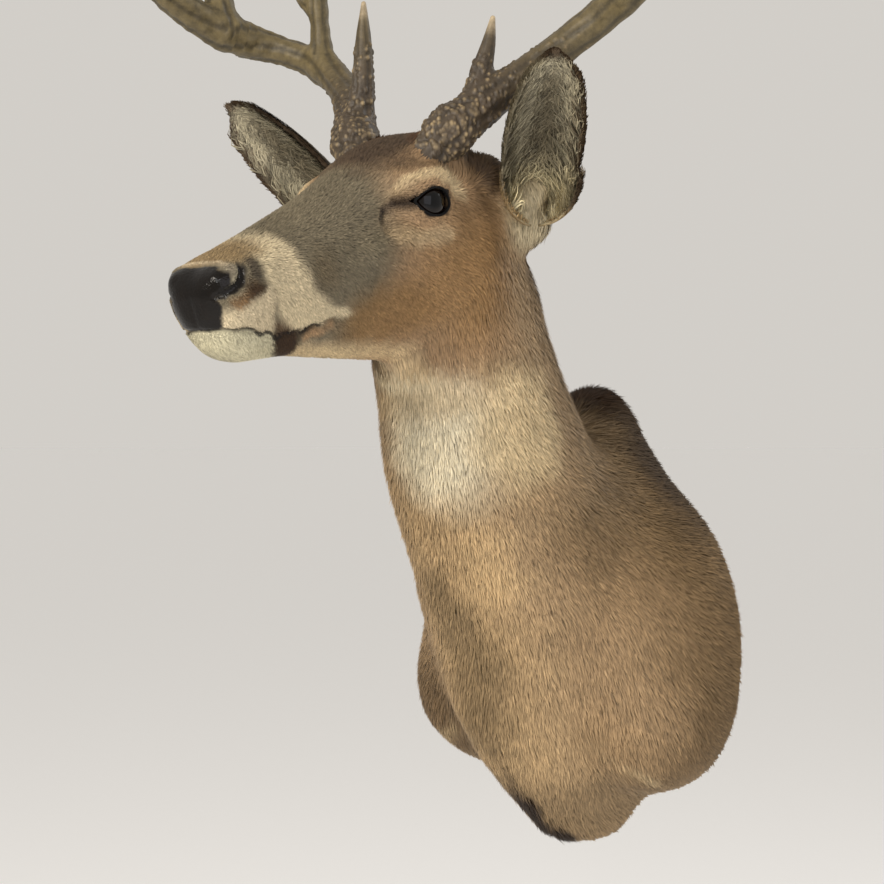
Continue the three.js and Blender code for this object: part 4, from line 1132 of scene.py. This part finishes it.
# The lie of the coat: back from the nose, down the cheeks, the neck and the shoulders.
def lie(p, normals):
    q = to_head(p)
    sign = np.sign(q[:, 1])
    low = inside(q[:, 2] - 6, 40)
    chin = inside(118 - q[:, 0], 30) * inside(q[:, 2] + 22, 16)
    face = np.stack([-1 + 0.45 * low, 0.12 * sign, 0.12 - 0.95 * low], 1)
    face = face * (1 - chin[:, None]) + np.array([-0.35, 0, -1]) * chin[:, None]
    for side in (-1, 1):
        away = q - ANTLER_FOOT * [1, side, 1]
        near = inside(np.linalg.norm(away, axis=1) - 30, 18)[:, None]
        face = face * (1 - near) + (unit(-away) * 0.5 + [-0.3, 0, 1.2]) * near
    face = face @ HEAD_TURN.T
    z = np.clip(p[:, 2], NECK_LEVELS[0], NECK_LEVELS[-1])
    fall = -(neck_centre(z + 2) - neck_centre(z - 2)) / 4
    down = np.stack([0 * z, fall, -1 + 0 * z], 1)
    flank = inside(62 - np.abs(p[:, 0]), 50)[:, None] * inside(p[:, 2] - 90, 90)[:, None]
    shoulder = np.stack([0.1 * np.sign(p[:, 0]), 0.5 + 0 * z, -0.9 + 0 * z], 1)
    body = down * (1 - flank) + shoulder * flank
    behind = inside(p[:, 2] - 175, 40)[:, None] * inside(-45 - p[:, 1], 40)[:, None]
    body = body * (1 - behind) + np.array([0, 0.8, -0.6]) * behind
    mix = inside(-side_of_head(p), 30)[:, None]
    way = face * mix + body * (1 - mix)
    way = unit(way - (way * normals).sum(1)[:, None] * normals)
    swirl = 0.12 * ripple(p, 34, 51) + 0.05 * ripple(p, 9, 52)
    return unit(way + swirl[:, None] * np.cross(normals, way))


# Where each tuft's root falls on the hide laid out flat: the body round its upright axis,
# the head round its own, and the ears by themselves.
def laid_out(p):
    q = to_head(p)
    z = np.clip(p[:, 2], NECK_LEVELS[0], NECK_LEVELS[-1])
    round_body = np.arctan2(p[:, 0] - NECK_CENTRE_X, neck_centre(z) - p[:, 1]) / (2 * np.pi) + 0.5
    body = np.stack([0.01 + 0.60 * round_body, 0.02 + 0.96 * (p[:, 2] + 190) / 560], 1)
    round_head = np.arctan2(q[:, 1], q[:, 2] + 22) / (2 * np.pi) + 0.5
    top = np.stack([0.64 + 0.35 * round_head, 0.32 + 0.66 * (q[:, 0] + 135) / 325], 1)
    return np.where((side_of_head(p) > 0)[:, None], top, body)


def scatter(points, faces, normals, per_mm2, rng):
    a, b, c, d = (points[faces[:, k]] for k in range(4))
    area = np.linalg.norm(np.cross(c - a, d - b), axis=1) / 2
    number = np.floor(area * per_mm2 * DENSITY + rng.random(len(area))).astype(int)
    face = np.repeat(np.arange(len(faces)), number)
    u, v = rng.random((2, len(face), 1))
    weights = [(1 - u) * (1 - v), u * (1 - v), u * v, (1 - u) * v]
    spots = sum(w * points[faces[face, k]] for k, w in enumerate(weights))
    return spots, unit(sum(w * normals[faces[face, k]] for k, w in enumerate(weights)))


# A blade is a strip through its stations, pointed at the last of them. Its width follows a
# share at each station, and its patch on the map is centred on its root's place.
def lay_coat(name, stations, beside, width, shares, colours, shades, flat, finish):
    half = (width / 2)[:, None] * beside
    rows, along, spread = [], [], []
    for number, (station, share) in enumerate(zip(stations[:-1], shares)):
        rows += [station - share * half, station + share * half]
        along += [number / (len(stations) - 1)] * 2
        spread += [-share, share]
    points = np.stack(rows + [stations[-1]], 1)
    along, spread = np.array(along + [1.0]), np.array(spread + [0.0])
    strip = [(2 * i, 2 * i + 1, 2 * i + 3) for i in range(len(stations) - 2)]
    strip += [(2 * i, 2 * i + 3, 2 * i + 2) for i in range(len(stations) - 2)]
    last = 2 * (len(stations) - 2)
    strip = np.array(strip + [(last, last + 1, last + 2)])
    count = points.shape[1]
    faces = (np.arange(len(points))[:, None, None] * count + strip).reshape(-1, 3)
    piece = new_piece(name, points.reshape(-1, 3), faces, finish)
    colour_points(piece, "colour_and_painted_light", np.repeat(np.clip(colours, 0, 1), count, 0))
    value_points(piece, "along_hair", np.tile(along, len(points)))
    value_points(piece, "tuft_shade", np.repeat(shades, count))
    patch = flat[:, None, :] + np.column_stack([spread, along * 2 - 1]) * TUFT_PATCH / 2
    layer = piece.data.uv_layers.new(name="OFBake")
    layer.uv.foreach_set("vector", patch.reshape(-1, 2)[faces.ravel()].astype(np.float32).ravel())


# Tufts on the hide follow its surface from root to tip at the heights asked for.
def follow_hide(spots, facing, length, height, loose, rng):
    way = lie(spots, facing)
    way = unit(way + loose * rng.normal(size=(len(spots), 1)) * np.cross(facing, way))
    roots = spots - HAIR_UNDER_SKIN * facing
    middles = spots + way * (0.48 * length)[:, None]
    tips = spots + way * length[:, None]
    middles += facing * (0.62 * height - values(hide, middles))[:, None]
    tips += facing * np.clip(height - values(hide, tips), -0.6 * length, 0.8 * length)[:, None]
    middles[:, 1] = np.minimum(middles[:, 1], -1.0)
    tips[:, 1] = np.minimum(tips[:, 1], -1.0)
    return [roots, middles, tips], unit(np.cross(way, facing))


# How far a place is from the bare lids, creases, nostril and mouth, negative on them. The
# hair gets shorter towards them and stops.
def off_bare(p):
    m = mirrored(to_head(p))
    opening, _ = lid_opening(m)
    off = np.maximum(opening - 0.6, egg(m, EYE_SEAT, LID_REACH))
    for line, radii in ((NOSTRIL, [1.5, 2.4, 2.7, 2.5, 2.3, 1.5]), (MOUTH, [0.9] * len(MOUTH)),
                        (TEAR_SLIT, [1.2, 1.2, 0.8]), (LID_CREASE, [1.8, 1.5, 1.0])):
        off = np.minimum(off, run(m, line, radii))
    return off


WALL_ROOM = 2.4                                # mm from the wall that no hair roots within
BACK_ROOM = 14                                 # the same where the hide faces the wall


def bald(p):
    return (nose_leather(p) > 0.3) | (off_bare(p) < 0) | (p[:, 1] > -WALL_ROOM)


# A region of the hide: its tufts are coloured, and each piece of the coat takes its own.
def lay_region(names, spots, facing, length, height, width, loose, least_shade, grain, rng):
    stations, beside = follow_hide(spots, facing, length, height, loose, rng)
    colours = coat_colours_and_painted_light(spots)
    shades = rng.normal(1.0, 0.15, len(spots)).clip(least_shade, 1.5) * (1 + 0.08 * ripple(spots, *grain))
    flat = laid_out(spots)
    for name in sorted(set(names)):
        own = names == name
        lay_coat(name, [s[own] for s in stations], beside[own], width[own], (0.8, 1.0), colours[own],
                 shades[own], flat[own], hair)


hide_normals = unit(slope(hide, hide_points)[1])
on_face = side_of_head(hide_points[hide_faces].mean(1)) > 0
rng = np.random.default_rng(7)

# The body: the neck, the chest, the shoulders and the withers. A few tufts stand out.
BODY_TUFTS, HEAD_TUFTS = 1.0, 1.5              # to a square millimetre
spots, facing = scatter(hide_points, hide_faces[~on_face], hide_normals, BODY_TUFTS, rng)
kept = ((facing[:, 1] < 0.9) | (spots[:, 1] < -BACK_ROOM)) & ~bald(spots)
spots, facing = spots[kept], facing[kept]
low = inside(spots[:, 2] - 30, 90)
throat = inside(egg(spots, (8, -226, 190), (36, 18, 14)), 20)
crest = inside(egg(spots, (2, -18, 165), (50, 60, 44)), 26)
keel = inside(run(spots, KEEL_LINE, [6, 10, 12, 12]), 12)
length = (10 + 3.5 * low + 3 * throat + 8 * crest + 8 * keel) * rng.uniform(0.75, 1.2, len(spots))
fullness = 1 + 0.4 * throat + 0.3 * crest + 0.5 * keel
height = coat_depth(to_head(spots)) * rng.uniform(0.3, 1.05, len(spots)) * fullness
height = height + (rng.random(len(spots)) < 0.03) * rng.uniform(0.5, 2.0, len(spots))
width = rng.uniform(0.85, 1.45, len(spots)) * (1 + 0.2 * low) * FATNESS
names = np.full(len(spots), "coat_neck_front", dtype=object)
levels = np.clip(spots[:, 2], NECK_LEVELS[0], NECK_LEVELS[-1])
names[spots[:, 1] > neck_centre(levels) - 10] = "coat_neck_back"
names[spots[:, 2] < CHEST_TOP] = "coat_chest"
names[spots[:, 2] < BRISKET_TOP] = "coat_brisket"
names[(spots[:, 0] > SHOULDER_SIDE) & (spots[:, 2] < SHOULDER_TOP)] = "coat_shoulder_left"
names[(spots[:, 0] < -SHOULDER_SIDE) & (spots[:, 2] < SHOULDER_TOP)] = "coat_shoulder_right"
lay_region(names, spots, facing, length, height, width, 0.10, 0.55, (6, 61), rng)

# The head: the same hair, a few millimetres long and close as velvet.
spots, facing = scatter(hide_points, hide_faces[on_face], hide_normals, HEAD_TUFTS, rng)
kept = ~bald(spots)
spots, facing = spots[kept], facing[kept]
q = to_head(spots)
back = inside(q[:, 0] + 30, 120)
pedicle = inside(np.linalg.norm(mirrored(q) - ANTLER_FOOT, axis=1) - 30, 16)
chin = inside(120 - q[:, 0], 20) * inside(q[:, 2] + 30, 10)
nose_top = inside(160 - q[:, 0], 12) * inside(6 - q[:, 2], 8)
short = inside(off_bare(spots) - 3.5, 5)
length = (3.8 + 4.2 * back + 5 * pedicle + 2 * chin - 1.2 * nose_top) * rng.uniform(0.75, 1.25, len(spots))
length = length * (1 - 0.6 * short)
height = coat_depth(q) * rng.uniform(0.3, 1.1, len(spots)) * (1 - 0.5 * nose_top) * (1 - 0.5 * short)
height = height + 3.5 * pedicle * rng.random(len(spots))
width = rng.uniform(0.65, 1.05, len(spots)) * (1 + 0.45 * back) * FATNESS
names = np.where(q[:, 1] > 0, "coat_head_left", "coat_head_right").astype(object)
lay_region(names, spots, facing, length, height, width, 0.14, 0.6, (4, 62), rng)

# The ears: close hair on the back and the rim, and long soft curved hair inside.
for side, corner in (("left", 0.64), ("right", 0.82)):
    parts = []
    area = EARS[side]["length"] * 58 * EARS[side]["breadth"]
    for kind, count in (("back", 1.3), ("lining", 0.62), ("rim", 0.2)):
        number = int(count * area * DENSITY)
        t = rng.uniform(0.02, 0.995, number) ** 0.8
        s = rng.uniform(-1, 1, number)
        level = np.full(number, -EAR_SKIN / 2 if kind == "lining" else EAR_SKIN / 2)
        if kind == "rim":
            s = np.sign(s) * rng.uniform(0.93, 1.0, number)
            level = rng.uniform(-EAR_SKIN / 2, EAR_SKIN / 2, number)
        spots, up, sideways, out = on_ear(side, t, s, level)
        kept = hide(spots) > -1
        spots, up, sideways, out, t, s = (v[kept] for v in (spots, up, sideways, out, t, s))
        stray = rng.normal(size=(3, len(t), 1))[0]
        if kind == "back":
            way = unit(up + 0.15 * stray * sideways)
            length = rng.uniform(4, 7, len(t))
            rise = rng.uniform(0.4, 1.4, len(t))
            width = rng.uniform(0.7, 1.1, len(t))
            shade = rng.normal(1.0, 0.15, len(t))
        elif kind == "rim":
            way = unit(up + np.sign(s)[:, None] * (0.35 + 0.2 * stray) * sideways)
            length = rng.uniform(3, 6, len(t))
            rise = rng.uniform(-0.6, 0.6, len(t))
            width = rng.uniform(0.6, 1.0, len(t))
            shade = rng.normal(0.9, 0.15, len(t))
        else:
            inward = -np.sign(s)[:, None] * np.abs(s)[:, None] ** 0.5
            curl = 0.6 * ripple(spots, 15, 78)[:, None]
            way = unit(0.75 * up + (inward * 0.75 + 0.3 * stray + curl) * sideways)
            out = -out
            length = rng.uniform(12, 24, len(t)) * (1.15 - 0.6 * t) * np.clip(0.45 + 2 * t, 0, 1)
            rise = rng.uniform(1.0, 4.5, len(t)) * (1 - 0.5 * t)
            width = rng.uniform(0.7, 1.2, len(t))
            shade = rng.normal(1.25, 0.25, len(t)) * (1 + 0.35 * ripple(spots, 9, 77))
        length = length * (1 - 0.6 * inside(0.9 - t, 0.16))
        long_hair = kind == "lining"
        bend = np.cross(out, way) * (0.22 * length * rng.normal(size=len(t)))[:, None] * long_hair
        bowl = (0.5 * length**2 / 60 * long_hair)[:, None] * out
        roots = spots - 0.4 * out
        reach, lift = length[:, None], rise[:, None]
        first = spots + way * (0.35 * reach) + out * lift + bend * 0.6
        second = spots + way * (0.7 * reach) + out * (lift * 1.1) + bend * 0.7 + bowl * 0.5
        tips = spots + way * reach + out * (lift * 0.9) - bend * 0.4 + bowl
        colour = ear_colours(side, t, s, np.full(len(t), long_hair))
        flat = np.stack([corner + 0.01 + 0.15 * (s + 1) / 2, 0.02 + 0.26 * t], 1)
        beside = unit(np.cross(way, out))
        parts.append((roots, first, second, tips, beside, width, colour, shade.clip(0.5, 2.0), flat))
    *stations, beside, width, colour, shade, flat = (np.concatenate(kinds) for kinds in zip(*parts))
    lay_coat(f"coat_ear_{side}", stations, beside, width * FATNESS, (0.8, 1.0, 0.7), colour, shade,
             flat, hair)

# ------------------------------------------------------------------------------------------
# The studio. A plain pale paper floor lies well under the hanging mount. Three broad lights and
# one small one for the eye stand round it, and the camera is level with its chest.
# ------------------------------------------------------------------------------------------
FLOOR_LEVEL, FLOOR_HALF = -0.75, 400           # metres
floor_mesh = bpy.data.meshes.new("floor")
floor_corners = [(i * FLOOR_HALF, j * FLOOR_HALF, FLOOR_LEVEL)
                 for i, j in ((-1, -1), (1, -1), (1, 1), (-1, 1))]
floor_mesh.from_pydata(floor_corners, [], [(0, 1, 2, 3)])
floor = bpy.data.objects.new("floor", floor_mesh)
bpy.context.scene.collection.objects.link(floor)
# Matt white paper, with no shine.
paper, tree = new_material("studio_floor")
floor_shader = add_node(tree, "ShaderNodeBsdfPrincipled", {"Roughness": 0.9, "Specular IOR Level": 0.1})
floor_shader.inputs["Base Color"].default_value = linear("ffffff") + [1]
add_node(tree, "ShaderNodeOutputMaterial", Surface=floor_shader.outputs[0])
floor.data.materials.append(paper)

world = bpy.data.worlds.new("studio")
world.use_nodes = True
bpy.context.scene.world = world
sky = world.node_tree.nodes["Background"]
sky.inputs["Color"].default_value = linear("dcd8d2") + [1]
sky.inputs["Strength"].default_value = 0.9


def soft_light(name, place_m, target_m, size, watts, code):
    lamp = bpy.data.lights.new(name, "AREA")
    lamp.shape = "SQUARE"
    lamp.size = size
    lamp.energy = watts
    lamp.color = linear(code)
    holder = bpy.data.objects.new(name, lamp)
    bpy.context.scene.collection.objects.link(holder)
    way = Vector(target_m) - Vector(place_m)
    holder.location = place_m
    holder.rotation_euler = way.to_track_quat("-Z", "Y").to_euler()


soft_light("key", (0.15, -2.0, 1.0), (0.0, -0.2, 0.12), 0.7, 27, "fff6ea")
soft_light("fill", (2.0, -1.0, 0.3), (0.0, -0.2, 0.1), 1.6, 9, "f6f4ff")
soft_light("rim", (0.8, 1.4, 1.6), (0.0, -0.2, 0.2), 1.0, 12, "ffffff")
soft_light("catchlight", (0.9, -1.5, 0.6), (0.0, -0.3, 0.25), 0.16, 3.4, "ffffff")

CAMERA_PLACE = (0.75, -0.951, 0.132)           # metres, level with the chest
CAMERA_AZIMUTH = 44.06
FOCAL_PIXELS = 1500.0
PICTURE_WIDTH = 884
HORIZON_ROW = 445
SENSOR = 36.0
camera_data = bpy.data.cameras.new("camera")
camera_data.sensor_width = SENSOR
camera_data.lens = SENSOR * FOCAL_PIXELS / PICTURE_WIDTH
camera_data.shift_y = (HORIZON_ROW - PICTURE_WIDTH / 2) / PICTURE_WIDTH
camera = bpy.data.objects.new("camera", camera_data)
camera.location = CAMERA_PLACE
camera.rotation_euler = (math.radians(90), 0, math.radians(CAMERA_AZIMUTH))
bpy.context.scene.collection.objects.link(camera)
bpy.context.scene.camera = camera
bpy.context.scene.view_settings.view_transform = "Standard"
